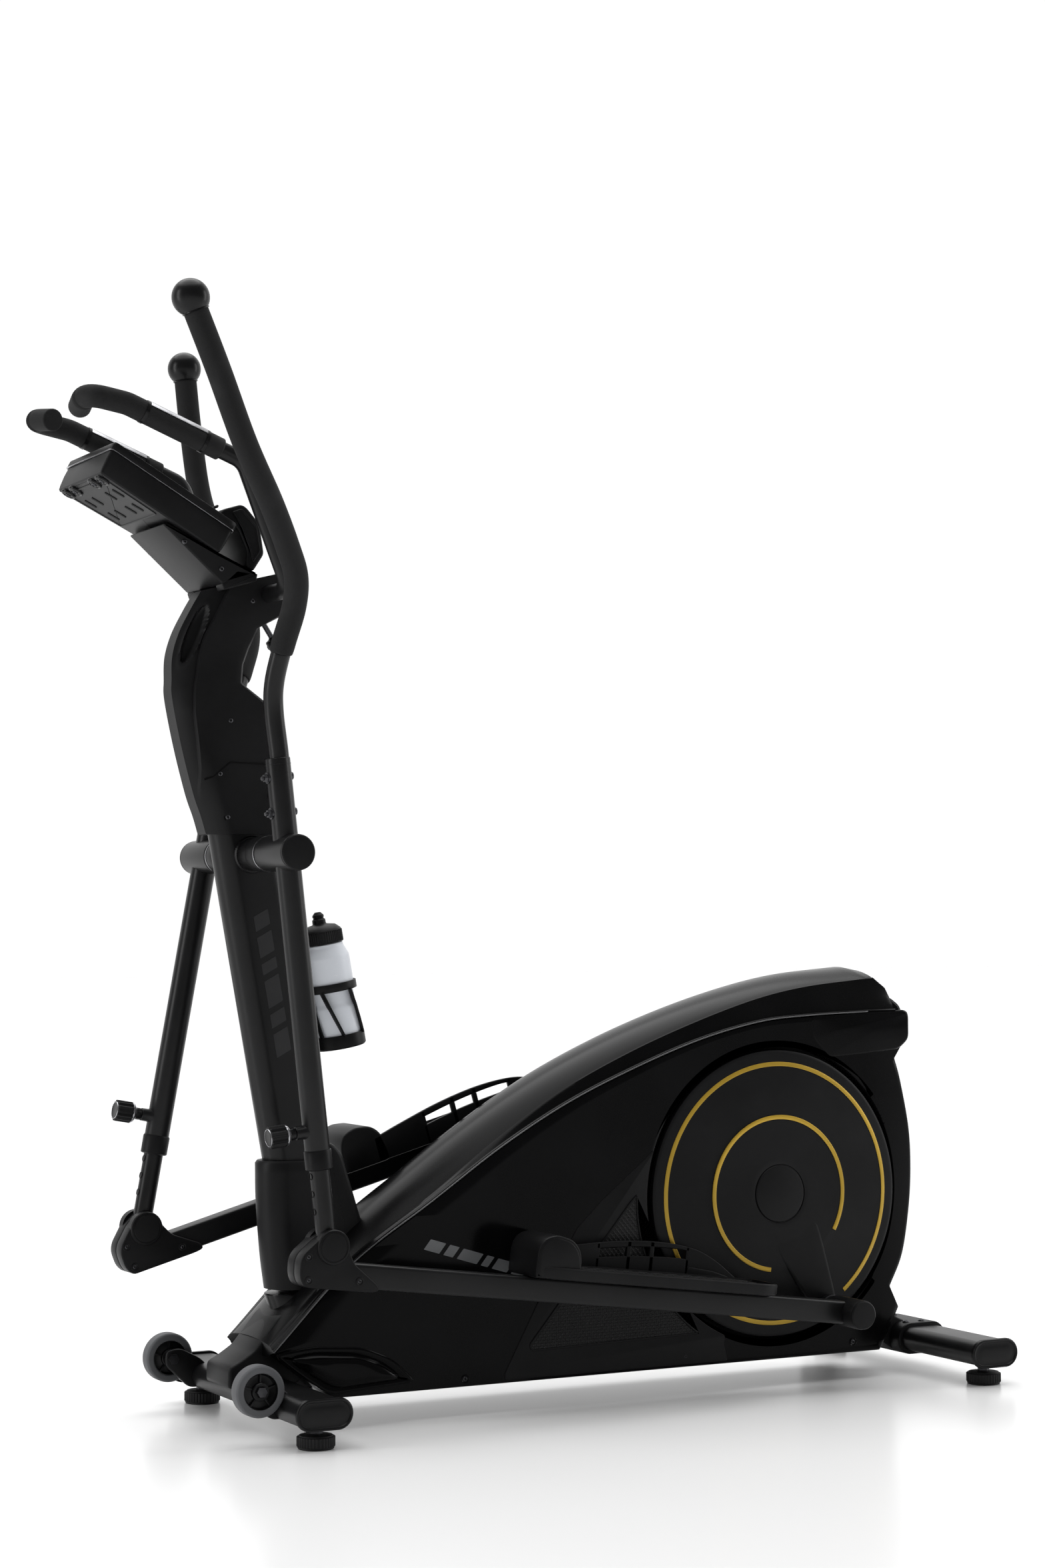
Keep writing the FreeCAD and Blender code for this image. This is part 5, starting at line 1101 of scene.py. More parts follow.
# ---------------------------------------------------------------- base
@dataclass
class Base:
    """Front and rear cross tubes with end plugs, levelling feet, transport wheels and their ears."""

    level: float = 50.0
    deep: float = 80.0
    tall: float = 38.0
    span: float = 238.0
    rear: float = 1135.0
    foot_out: float = 213.0
    wheel: tuple = (-70.2, 175.0, 78.0)
    wheel_radius: float = 36.1

    def build(self) -> None:
        """Make every part of the base."""
        self.build_tubes()
        self.build_plugs()
        for place, x in (("front", 0.0), ("rear", self.rear)):
            for side in Side:
                self.build_foot(place, x, side)
        for side in Side:
            self.build_wheel(side)

    def build_tubes(self) -> None:
        """Cross tubes: an oblong swept across; the front has the wheel ears, the rear one a saddle."""
        for name, x in (("front", 0.0), ("rear", self.rear)):
            shell = Shell()
            line = np.stack([np.array([x, y, self.level]) for y in (-self.span, -80, 80, self.span)])
            shell.sweep(line, oblong(self.deep, self.tall, 56)[:, ::-1], hint=UP)
            if name == "front":
                for side in Side:
                    self.add_ear(shell, side)
            else:
                self.add_saddle(shell)
            shell.piece(name + "_cross_tube", "frame", POWDER, BOLT, SATIN, replaces=(name + "_stabiliser",),
                        slot="painted_tube")

    def add_ear(self, shell: Shell, side: Side) -> None:
        """Ear: a thick rounded plate from the tube to the wheel's axle, with the axle bolt and its washer."""
        x, out, z = self.wheel
        outline = softened(points((x - 12, z - 9), (x - 10, z + 12), (x + 12, z + 15), (-26, z - 2),
                                  (-14, self.level + 14), (-18, self.level - 16), (-44, self.level - 16)), 8,
                                  6)
        inner = out - 12 - 2 - 9
        low, high = sorted((side.value * inner, side.value * (inner + 9)))
        shell.slab(outline, low, high, 2.5)
        centre, way = np.array([x, 0, z]), ACROSS * side.value
        shell.lathe(points((0, inner), (5, inner), (5, out + 14), (0, out + 14)), centre, way, 24, 1)
        shell.lathe(points((0, out + 11.8), (8.6, out + 11.8), (8.6, out + 14.8), (7.4, out + 17),
                           (0, out + 17.6)), centre, way,
                    6, 1)
        shell.lathe(points((0, inner - 6), (8.4, inner - 5.6), (8.4, inner + 1), (0, inner + 1)), centre,
                    way, 6, 1)

    def add_saddle(self, shell: Shell) -> None:
        """Saddle: a moulded collar round the middle of the rear tube and the web to the frame's rail."""
        line = np.stack([np.array([self.rear, y, self.level]) for y in (-52, -46, 46, 52)])
        shell.sweep(line, oblong(self.deep + 12, self.tall + 12, 56)[:, ::-1], hint=UP, edge=3.0, mark=2)
        web = softened(points((1073, 47), (1073, 103), (1108, 80), (1125, 74), (1125, 27), (1100, 29)), 9, 5)
        shell.slab(web, -25, 25, 3.0, mark=2)
        for across in (-38, 38):
            dome_screw(shell, np.array([self.rear + 8, across, self.level + self.tall / 2 + 5.4]), UP, 6.0, 1)
            dome_screw(shell, np.array([self.rear - 22, across, self.level + self.tall / 2 + 5.4]),
                       UP, 6.0, 1)

    def build_plugs(self) -> None:
        """End plugs: oblongs with a raised rim and a sunken, slightly domed face."""
        shell = Shell()
        deep, tall = self.deep + 5.6, self.tall + 6.6
        outline = oblong(deep, tall, 56)
        for x in (0.0, self.rear):
            for side in Side:
                plane = Plane((x, 0, self.level), (1, 0, 0), (0, 0, 1), (0, side.value, 0))
                s = self.span
                rows = [(6, s - 0.5), (0.8, s), (0, s + 0.9), (0, s + 5.4), (0.8, s + 7.0), (2.2, s + 7.8),
                        (4.2, s + 7.4), (5.4, s + 5.8), (7.5, s + 5.6), (12, s + 6.3), (17, s + 6.8)]
                shell.dish(outline, rows, plane)
        shell.piece("end_plugs", "frame", SMOOTH, replaces=("stabiliser_caps",), slot="satin_panel")

    def build_foot(self, place: str, x: float, side: Side) -> None:
        """Foot: a pad whose rim radius is 26.4 + 0.5 cos 36a, a lock nut and the stud."""
        node = "foot_%s_%s" % (place, side.word)
        centre = np.array([x, side.value * self.foot_out, 0.0])
        shell = Shell()
        angle = np.linspace(0, 2 * math.pi, 144, endpoint=False)
        ribbed = (26.4 + 0.5 * np.cos(36 * angle))[:, None] * np.stack([np.cos(angle), np.sin(angle)], axis=1)
        shell.sweep(centre + points((0, 0, 3.0), (0, 0, 5), (0, 0, 13), (0, 0, 17.0)), ribbed, hint=ACROSS,
                    edge=1.2)
        shell.lathe(points((0, 0.05), (24.5, 0.05), (25.6, 1.4), (25.2, 3.4), (0, 3.4)), centre, UP, 60)
        shell.lathe(points((0, 16), (24, 16), (23.4, 18.6), (16, 20), (0, 20.0)), centre, UP, 60)
        shell.lathe(points((0, 19), (9, 19), (9, 24.4), (8, 25.2), (0, 25.2)), centre, UP, 6, 1)
        shell.lathe(points((0, 20), (4.9, 20), (4.9, 48), (0, 48)), centre, UP, 20, 1)
        shell.piece("levelling_" + node, node, TREAD, BOLT, replaces=(node,), slot="foot")

    def build_wheel(self, side: Side) -> None:
        """Wheel: dark centre with a stepped hub and five arched ribs, and a grey tyre ring."""
        x, out, z = self.wheel
        centre, way = np.array([x, side.value * out, z]), ACROSS
        shell = Shell()
        r = self.wheel_radius
        half = 11.9
        tyre = softened(points((r - 11, -half + 1), (r - 9.5, -half), (r - 2.5, -half), (r, -half + 3),
                               (r, half - 3), (r - 2.5, half), (r - 9.5, half), (r - 11, half - 1)), 1.4, 4)
        shell.lathe(tyre, centre, way, 80, 1)
        web = points((5.1, -half), (11.5, -half), (12.5, -half + 1), (12.8, -5.5), (14.5, -4.5),
                     (r - 14, -4.5), (r - 12.4, -6), (r - 11.6, -half + 1.2), (r - 10.8, -half + 1.4),
                     (r - 10.8, half - 1.4), (r - 11.6, half - 1.2), (r - 12.4, 6), (r - 14, 4.5),
                     (14.5, 4.5), (12.8, 5.5), (12.5, half - 1), (11.5, half), (5.1, half))
        shell.lathe(web, centre, way, 80)
        plane = Plane(tuple(centre), (1, 0, 0), (0, 0, 1), (0, 1, 0))
        for turn in np.arange(5) * 2 * math.pi / 5 + 0.3:
            flat = points((11.5, -1.3), (r - 11.5, -1.3), (r - 11.5, 1.3), (11.5, 1.3))
            spin = np.array([[math.cos(turn), math.sin(turn)], [-math.sin(turn), math.cos(turn)]])
            shell.slab(flat @ spin, -8.6, 8.6, 0.5, plane)
        shell.piece("rolling_wheel_" + side.word, "wheel_" + side.word, SMOOTH, TYRE,
                    replaces=("transport_wheel_" + side.word,), slot="wheel")


# ---------------------------------------------------------------- shroud
def arc(centre: Array, radius: float, start: float, stop: float, count: int) -> Array:
    """Points (x, z) on a circle between two angles in degrees."""
    turn = np.radians(np.linspace(start, stop, count))
    return centre[[0, 2]] + radius * np.stack([np.cos(turn), np.sin(turn)], axis=1)


def slanted_bars(shell: Shell, start: Array, way: Array, sizes: tuple, level: float, plane: Plane,
                 tall: float, lean: float, mark: int) -> None:
    """Plain slanted bars of different widths in a row, raised 0.3 mm from a face."""
    rise = np.array([-way[1], way[0]]) * tall + way * lean
    here = np.asarray(start, dtype=float)
    for wide, gap in sizes:
        outline = np.stack([here, here + way * wide, here + way * wide + rise, here + rise])
        shell.slab(softened(outline, 1.2, 3), level - 0.4, level + 0.3, 0.0, plane, mark)
        here = here + way * (wide + gap)


@dataclass
class Shroud:
    """The body moulding: two side shells, their vents and fenders, the ribbed crown and the tail collar."""

    half: float = 87.0
    well: float = 228.2
    edge: tuple = ((-10, 113), (113, 232), (242, 316), (352, 388), (464, 449.5), (580, 498.5), (698, 539.5),
                   (808, 565), (900, 573), (1010, 577))
    tail: tuple = ((1084, 577), (1086, 530), (1066, 504), (1079, 467), (1097, 392), (1101, 328), (1096, 264),
                   (1080, 191), (1052, 140), (1070, 106), (1030, 42), (82, 42))
    ridge_lift: tuple = (9, 5, 6, 12, 20, 25, 28, 36, 46, 53)
    crown_lift: tuple = (14, 31, 42, 43, 45, 48, 49, 54, 64, 70)

    def build(self) -> None:
        """Make both sides, the crown and the collar."""
        for side in Side:
            self.build_side(side)
            self.build_vent(side)
        self.build_crown()

    def outline(self) -> Array:
        """The side's closed outline as (x, z): a flowing back, a lip, a bulging tail and a flat sole."""
        back = flowing(points(*self.edge), 90)
        lip, rear = points(*self.tail[:2]), flowing(points(*self.tail[2:9]), 40)
        sole = points(*self.tail[9:])
        return softened(np.vstack([back, lip, rear, sole]), 1.5, 3)

    def build_side(self, side: Side) -> None:
        """Side shell: a radial grid between the round well and the outline, 360 spokes from the crank."""
        outline = self.outline()
        outline = np.vstack([outline, spread(np.vstack([outline, outline[:1]]), 1500)[:-1]])
        angle = np.arctan2(outline[:, 1] - CRANK[2], outline[:, 0] - CRANK[0])
        order = np.argsort(angle)
        sorted_angle, reach = angle[order], np.linalg.norm(outline - CRANK[[0, 2]], axis=1)[order]
        corners = np.arctan2(*(self.outline() - CRANK[[0, 2]]).T[::-1])
        spokes = np.unique(np.concatenate([np.linspace(-math.pi, math.pi, 420, endpoint=False), corners]))
        spokes = spokes[spokes < math.pi - 1e-6]
        spokes = spokes[np.concatenate([[True], np.diff(spokes) > 2e-4])]
        rim = np.interp(spokes, np.concatenate([sorted_angle - 2 * math.pi, sorted_angle, sorted_angle + 2
                                                * math.pi]),
                        np.tile(reach, 3))
        rows = [(1.0, 0.0, 0.2), (1.0, 0.0, 40.0), (1.0, 0.0, 80.0), (1.0, -0.9, 83.6), (1.0, -2.6, 85.8),
                (1.0, -5.4, 87.0)]
        rows += [(share, -5.4, 87.0) for share in (0.9, 0.75, 0.6, 0.45, 0.3, 0.18, 0.08)]
        rows += [(0.0, 8.0, 87.0), (0.0, 5.0, 86.6), (0.0, 2.2, 85.2), (0.0, 0.6, 82.6), (0.0, 0.0, 79.0),
                 (0.0, 0.0, 60.0), (0.0, 3.0, 60.0), (0.0, 3.0, 79.0)]
        rows += [(share, -8.0, 83.8) for share in (0.2, 0.6, 1.0)] + [(1.0, -3.2, 78.0), (1.0, -3.2, 0.2)]
        grid = np.empty((len(rows), len(spokes), 3))
        for number, (share, shift, level) in enumerate(rows):
            radius = self.well + (rim - self.well) * share + shift
            grid[number, :, 0] = CRANK[0] + radius * np.cos(spokes)
            grid[number, :, 1] = level * side.value
            grid[number, :, 2] = CRANK[2] + radius * np.sin(spokes)
        inward = np.clip((grid[..., 0] - 1020) / 80, 0, 1) ** 1.6 * 11.0
        grid[..., 1] -= side.value * np.minimum(inward, np.abs(grid[..., 1]) * 0.13)
        shell = Shell().grid(grid, joined=True, caps=False)
        for x, z in ((293, 54), (669, 59), (976, 59)):
            self.add_screw(shell, x, z, side)
        self.add_liner(shell, side)
        self.add_fender(shell, side)
        way = unit(points((395 - 219, 211 - 265)))[0]
        slanted_bars(shell, np.array([226.0, 246.0]), way, ((26, 7), (16, 7), (34, 7), (12, 7), (26, 7),
                                                            (20, 0)), self.half,
                     self.plane(side), 17.0, 7.0, 2)
        shell.piece("shroud_side_" + side.word, "frame", GLOSS, BOLT, MARK, SATIN, DEEP,
                    replaces=("shroud_" + side.word,), slot="gloss_panel", sharp=40)

    @staticmethod
    def plane(side: Side) -> Plane:
        """The side plane whose levels run outwards."""
        return Plane(normal=(0.0, float(side.value), 0.0))

    def add_screw(self, shell: Shell, x: float, z: float, side: Side) -> None:
        """A countersunk screw in a round rim on the side."""
        centre, way = np.array([x, side.value * self.half, z]), ACROSS * side.value
        shell.lathe(points((4.6, -0.4), (6.6, -0.3), (6.6, 0.5), (5.8, 0.8), (4.6, 0.2)), centre, way, 24)
        dome_screw(shell, centre - way * 1.0, way, 4.2, 1)

    def add_liner(self, shell: Shell, side: Side) -> None:
        """A dark annulus behind the well's edge that closes the view past the disc."""
        ring = points((206, 63.6), (231.0, 63.6), (231.0, 65.0), (206, 65.0))
        shell.lathe(ring, CRANK, ACROSS * side.value, 120, 4)

    def add_fender(self, shell: Shell, side: Side) -> None:
        """Front fender: a thin ledge with a full, rounded bulge on it."""
        outline = softened(points((-12, 111), (50, 118), (128, 112), (176, 92), (214, 56), (75, 48),
                                  (22, 84)), 16, 7)
        plane = self.plane(side)
        shell.dish(outline, [(2, 80), (0, 85), (0, 88.5), (1.5, 90), (4, 90.5), (6, 89.5)], plane, 0)
        bulge = softened(points((8, 104), (50, 110), (124, 104), (164, 88), (194, 62), (82, 56), (36, 84)),
                         18, 7)
        middle = np.array([104.0, 82.0])
        turn = np.linspace(0, math.pi / 2, 9)
        rows = [plane.point(middle + (bulge - middle) * share, level)
                for share, level in zip(0.42 + 0.58 * np.cos(turn), 86.0 + 17.0 * np.sin(turn))]
        shell.grid(np.stack(rows))

    def build_vent(self, side: Side) -> None:
        """Vent: a raised satin facet that follows the well, with a rimmed perforated screen on it."""
        plane, shell = self.plane(side), Shell()
        well = arc(CRANK, self.well + 5, 246.0, 161.0, 40)[::-1]
        outer = softened(np.vstack([well, points((737, 74), (744, 47), (358, 47), (358, 57), (415, 160),
                                                 (480, 262), (525, 303), (598, 360))]), 4.0, 4)
        shell.slab(outer, 84.0, 88.2, 1.0, plane)
        ring = arc(CRANK, 250, 236.0, 177.5, 26)
        inner = softened(np.vstack([ring, points((572, 298), (398, 96), (402, 86))]), 5.0, 5)
        shell.dish(inner, [(0, 87), (0, 89.2), (0.8, 89.8), (2.4, 89.8), (3.0, 89.0), (3.2, 88.4)], plane)
        shell.slab(inset_outline(inner, 3.0), 87.6, 88.8, 0.2, plane, 1)
        shell.piece("vent_" + side.word, "frame", SATIN, SCREEN, replaces=("vent_grilles",), slot="grille")

    def build_crown(self) -> None:
        """Crown: sections z = top - (top - ridge) |y / 70|^2.2 between two beads, along the back, and a lighter
        grey bead along each lower edge as a painted highlight.
        """
        back = flowing(np.column_stack([points(*self.edge), self.ridge_lift, self.crown_lift]), 96)
        tail = points((1030, 577, 54, 66), (1052, 577, 38, 46), (1064, 577, 17, 20))
        back = np.vstack([back, tail])
        half_y = points((86.8,), (86.4,), (84.6,), (82.6,), (80.6,), (78.8,), (76.6,), (74.4,), (72.4,),
                        (70.4,))[:, 0]
        x, edge, ridge, top = back.T
        low = [edge + 0.6, edge + 2.4, edge + 3.8, edge + 3.9, edge + 3.6]
        rise = np.maximum(ridge - 4.0, 0.6)
        slope = [edge + 4.0 + rise * share for share in (0.25, 0.6)]
        bead = [edge + ridge - 1.2, edge + ridge, edge + ridge - 0.7]
        across = np.concatenate([half_y, np.linspace(66, 0, 14)])
        bulge = [edge + top - (top - ridge) * abs(y / 70) ** 2.2 for y in across[len(half_y):]]
        heights = np.stack(low + slope + bead + bulge, axis=1)
        across = np.broadcast_to(across, heights.shape)
        near = np.stack([np.broadcast_to(x[:, None], heights.shape), -across, heights], axis=2)
        far = np.stack([np.broadcast_to(x[:, None], heights.shape), across, heights], axis=2)[:, ::-1][:, 1:]
        skin = np.concatenate([near, far], axis=1)
        floor = np.stack([x, np.full_like(x, 60.0), edge - 8.0], axis=1)[:, None]
        grid = np.concatenate([skin, floor, floor * np.array([1.0, -1.0, 1.0])], axis=1)
        shell = Shell().grid(grid)
        band = [(900, 573), (1010, 577.5), (1084, 579), (1090, 572), (1090, 532), (1070, 516), (1000, 509),
                (937, 505), (905, 535)]
        shell.slab(softened(points(*band), 9, 6), -87.9, 87.9, 5.0, mark=1)
        cap = softened(points((1000, 570), (1010, 598), (1062, 600), (1082, 586), (1088, 570)), 8, 6)
        shell.slab(cap, -76, 76, 7.0, mark=1)
        # A thin bead along each lower edge in a lighter grey: a painted highlight line, which its high gloss
        # also helps to catch.
        for sign in (-1.0, 1.0):
            line = np.stack([x, np.full_like(x, 87.1 * sign), edge + 0.5], axis=1)[:-3]
            shell.sweep(spread(line, 90), circle(1.05, 10), edge=0.3, mark=2)
        shell.piece("crown_cover", "frame", RIDGE, GLOSS, HIGHLIGHT_BEAD, replaces=("shroud_crown",),
                    slot="gloss_panel", sharp=38)


# ---------------------------------------------------------------- mast
@dataclass
class Mast:
    """The leaning post with its pivot tube, the sleeve round its foot and the base cover."""

    foot: float = 96.0
    top: float = 1025.0
    deep: float = 99.4
    wide: float = 55.4
    lean: float = math.radians(10.3)

    def build(self) -> None:
        """Make the post, the sleeve and the base cover."""
        self.build_post()
        self.build_sleeve()
        self.build_base_cover()

    def middle(self, z: float) -> Array:
        """The mast's middle line at a height."""
        return np.array([PIVOT[0] - (z - PIVOT[2]) * math.tan(self.lean), 0.0, z])

    def build_post(self) -> None:
        """Post: an oblong tube cut level at both ends; cross tube with weld beads, bushes and rings."""
        shell = Shell()
        section = oblong(self.deep / math.cos(self.lean), self.wide, 72)
        levels = np.linspace(self.foot, self.top, 12)
        flat = np.concatenate([section, np.zeros((len(section), 1))], axis=1)
        shell.grid(np.stack([flat + self.middle(z) for z in levels]))
        shell.lathe(points((0, -89.6), (24, -89.6), (24, 89.6), (0, 89.6)), PIVOT, ACROSS, 56)
        for side in Side:
            way = ACROSS * side.value
            turn = np.linspace(0, 2 * math.pi, 120, endpoint=False)
            bead = 27.5 + 0.5 * np.abs(np.sin(turn * 22))
            rows = [np.stack([np.cos(turn), np.sin(turn)], axis=1) * (bead + grow)[:, None]
                    for grow in (-4.5, -0.4, -2.0, -4.5)]
            plane = Plane(tuple(PIVOT), (1, 0, 0), (0, 0, 1), tuple(way))
            shell.grid(np.stack([plane.point(row, level)
                                 for row, level in zip(rows, (26.0, 28.2, 31.5, 31.8))]))
            shell.lathe(softened(points((24.2, 61), (25.5, 61), (25.5, 89.8), (24.2, 89.8)), 0.6, 3), PIVOT,
                        way, 56, 1)
            shell.lathe(points((20, 90.8), (25.7, 90.8), (25.9, 91.7), (25.7, 92.7), (20, 92.7)), PIVOT,
                        way, 56, 2)
        neck = softened(points((-84, 1022), (-46, 1022), (-45, 1075), (-38, 1112), (-16, 1160), (8, 1184),
                               (-10, 1184), (-60, 1120)), 3, 3)
        shell.slab(neck, -21.5, 21.5, 1.0)
        away = np.array([-math.cos(self.lean), 0.0, -math.sin(self.lean)])
        for z in (640.0, 700.0):
            centre = self.middle(z) - away * (self.deep / 2)
            dome_screw(shell, centre, -away, 6.0, 3)
        rise = np.array([-math.sin(self.lean), 0.0, math.cos(self.lean)])
        self.add_bars(shell, rise)
        shell.piece("mast_tube", "frame", POWDER, SATIN, STEEL, BOLT, FAINT, replaces=("mast_post",),
                    slot="painted_tube")

    def add_bars(self, shell: Shell, rise: Array) -> None:
        """Plain slanted bars up the near side, in place of lettering."""
        for side in Side:
            plane = Plane(tuple(self.middle(523)), tuple(rise), tuple(np.cross(ACROSS, rise)),
                          (0.0, float(side.value), 0.0))
            slanted_bars(shell, np.array([6.0, -14.0]), np.array([1.0, 0.0]),
                         ((34, 9), (20, 9), (40, 9), (16, 9), (30, 9), (22, 0)), self.wide / 2, plane,
                         24.0, 8.0, 4)

    def build_sleeve(self) -> None:
        """Sleeve: a boot whose front is rounded, and a fin that runs back into the shroud; a cup below."""
        shell = Shell()
        front = flowing(points((14, 193), (7, 244), (1, 321), (0, 374)), 14)
        rear = points((150, 193), (150, 244), (110, 321), (90, 374))
        rear = flowing(rear, 14)
        rows = []
        for (front_x, z), (rear_x, _) in zip(front, rear):
            middle, deep = (front_x + rear_x) / 2, rear_x - front_x
            rows.append(np.column_stack([oblong(deep, 76, 64) + points((middle, 0)), np.full(64, z)]))
        rows.append(np.column_stack([oblong(86, 70, 64) + points((46, 0)), np.full(64, 378.0)]))
        shell.grid(np.stack(rows))
        fin = softened(points((60, 380), (92, 401), (106, 402), (121, 386), (160, 264), (178, 240),
                              (150, 192), (60, 192)), 12, 6)
        shell.slab(fin, -34, 34, 7.0)
        cup = [np.column_stack([oblong(deep, 2 * half, 64) + points((middle, 0)), np.full(64, float(z))])
               for z, middle, deep, half in ((186, 76, 122, 35.5), (184, 76, 124, 36.5), (160, 80, 114, 35),
                                             (138, 86, 106, 33), (128, 88, 96, 30))]
        shell.grid(np.stack(cup), mark=1)
        shell.piece("mast_boot", "frame", SATIN, SMOOTH, replaces=("mast_sleeve",), slot="satin_panel",
                    sharp=45)

    def build_base_cover(self) -> None:
        """Base cover: a sloping hood from the front tube to the cup, with two screws."""
        outline = softened(points((-61, 60), (-61, 74), (-60, 90), (-44, 97.5), (-21, 112), (16, 157),
                                  (40, 170), (138, 176), (150, 150), (150, 98), (60, 72), (44, 60)), 7, 6)
        shell = Shell().slab(outline, -45, 45, 5.0)
        for side in Side:
            way = ACROSS * side.value
            dome_screw(shell, np.array([-30.0, side.value * 45.2, 84.0]), way, 4.4, 1)
        shell.piece("base_hood", "frame", SATIN, BOLT, replaces=("mast_base_cover",), slot="satin_panel")


# ---------------------------------------------------------------- mast head
@dataclass
class MastHead:
    """The cover over the mast's top: a creased front spine with a scoop each side, and a notch behind."""

    front: tuple = ((-86, 849), (-94, 875), (-106, 908), (-124, 975), (-138, 1042), (-139, 1070),
                    (-138, 1104), (-128, 1138), (-110, 1173), (-94, 1200))
    rear: tuple = ((30, 849), (30, 862), (22, 930), (9, 1034), (-38, 1067), (-36, 1094), (-27, 1118),
                   (-12, 1148), (30, 1170), (28, 1231))
    crease: tuple = ((840, 3), (905, 4), (940, 12), (982, 17), (1015, 20), (1063, 29), (1112, 36),
                     (1160, 37), (1210, 38))
    scoop_middle: tuple = (-109.0, 1136.0)
    scoop_way: tuple = (0.385, 0.923)
    rows: int = 130

    def build(self) -> None:
        """Make both halves as one skin, with the collar's seam and the screws."""
        front, rear = flowing(points(*self.front), self.rows), spread(points(*self.rear), self.rows)
        reach = np.interp(front[:, 1], *points(*self.crease).T)
        deep = np.linalg.norm(rear - front, axis=1)
        ahead = np.linspace(0, 1, 18)
        behind = np.concatenate([np.linspace(0, 0.03, 3)[1:], np.linspace(0.08, 0.94, 14), [0.97, 0.99, 1.0]])
        run = np.hstack([reach[:, None] * ahead, reach[:, None] + (deep - reach)[:, None] * behind])
        line = front[:, None] + (rear - front)[:, None] * (run / deep[:, None])[..., None]
        half = self.half_width(run, reach[:, None], deep[:, None], front[:, 1:2])
        half -= self.scoop(line)
        near = np.stack([line[..., 0], -half, line[..., 1]], axis=2)
        shell = Shell().grid(np.concatenate([near, near[:, ::-1] * np.array([1.0, -1.0, 1.0])], axis=1))
        for side in Side:
            self.add_details(shell, side)
        shell.piece("mast_head_cover", "frame", SATIN, BOLT, DEEP,
                    replaces=("mast_head_left", "mast_head_right"), slot="satin_panel", sharp=26)

    @staticmethod
    def half_width(run: Array, reach: Array, deep: Array, height: Array) -> Array:
        """Half width: a round nose up to the crease, a step out to 42, a slow taper and a round back."""
        spine = 16 + 18.5 * np.sin(np.clip(run / np.maximum(reach, 22), 0, 1) * math.pi / 2)
        side = 42.0 - 3.0 * np.clip((run - reach) / deep, 0, 1)
        side -= 7.0 * (1 - np.sqrt(np.clip((deep - run) / 6.0, 0, 1)))
        plain = 16 + 26 * np.sin(np.clip(run / 30.0, 0, 1) * math.pi / 2) - 3.0 * np.clip(run / deep, 0, 1)
        plain -= 7.0 * (1 - np.sqrt(np.clip((deep - run) / 6.0, 0, 1)))
        creased = np.where(run <= reach + 1e-6, spine, side)
        share = np.clip((height - 900) / 70, 0, 1)
        return plain * (1 - share) + creased * share

    def scoop(self, line: Array) -> Array:
        """Depth of the scoop: 13 sqrt(1 - r^2) in an ellipse along the spine, less a raised lip round it."""
        way = np.array(self.scoop_way)
        away = line - np.array(self.scoop_middle)
        long, across = away @ way, away @ np.array([way[1], -way[0]])
        radius = np.sqrt((long / 45.0) ** 2 + (across / 9.5) ** 2)
        return 13.0 * np.sqrt(np.clip(1 - radius ** 2, 0, 1)) - 0.9 * np.exp(-((radius - 1.12) / 0.12) ** 2)

    def add_details(self, shell: Shell, side: Side) -> None:
        """The seam of the lower collar, and screws in dark sockets."""
        plane = Plane(normal=(0.0, float(side.value), 0.0))
        seam = points((-98, 925), (-84, 930), (-58, 951), (12, 949), (12, 951), (-59, 953), (-85, 932),
                      (-98, 927))
        shell.slab(seam, 38.5, 41.6, 0.3, plane, 2)
        for x, z in ((-74, 935), (-62, 873), (-58, 1012), (-24, 1186), (6, 905)):
            place = plane.point(np.array([x, z], dtype=float), 39.8)
            shell.lathe(points((0, -3), (6.2, -3), (6.4, 0.4), (5.4, 0.9), (0, 0.9)), place,
                        ACROSS * side.value, 24, 2)
            dome_screw(shell, place, ACROSS * side.value, 4.0, 1)


# ---------------------------------------------------------------- console
def bent(corners: Array, radii: tuple) -> Array:
    """A path through corners with round bends; each starts r tan(turn / 2) before its corner."""
    ways = unit(np.diff(corners, axis=0))
    turn = np.arccos(np.clip(np.sum(ways[:-1] * ways[1:], axis=1), -1, 1))
    return softened(corners, np.array(radii) * np.tan(turn / 2), 12, closed=False)


def paired(outline: Array, count: int, middle: tuple) -> Array:
    """An outline resampled at equal angles about a middle, so that two outlines match point for point."""
    away = spread(np.vstack([outline, outline[:1]]), 1600)[:-1] - np.array(middle)
    angle = np.mod(np.arctan2(away[:, 1], away[:, 0]), 2 * math.pi)
    order = np.argsort(angle)
    angle, reach = angle[order], np.linalg.norm(away, axis=1)[order]
    wanted = np.linspace(0, 2 * math.pi, count, endpoint=False)
    length = np.interp(wanted, np.concatenate([angle - 2 * math.pi, angle, angle + 2 * math.pi]),
                       np.tile(reach, 3))
    return np.array(middle) + length[:, None] * np.stack([np.cos(wanted), np.sin(wanted)], axis=1)


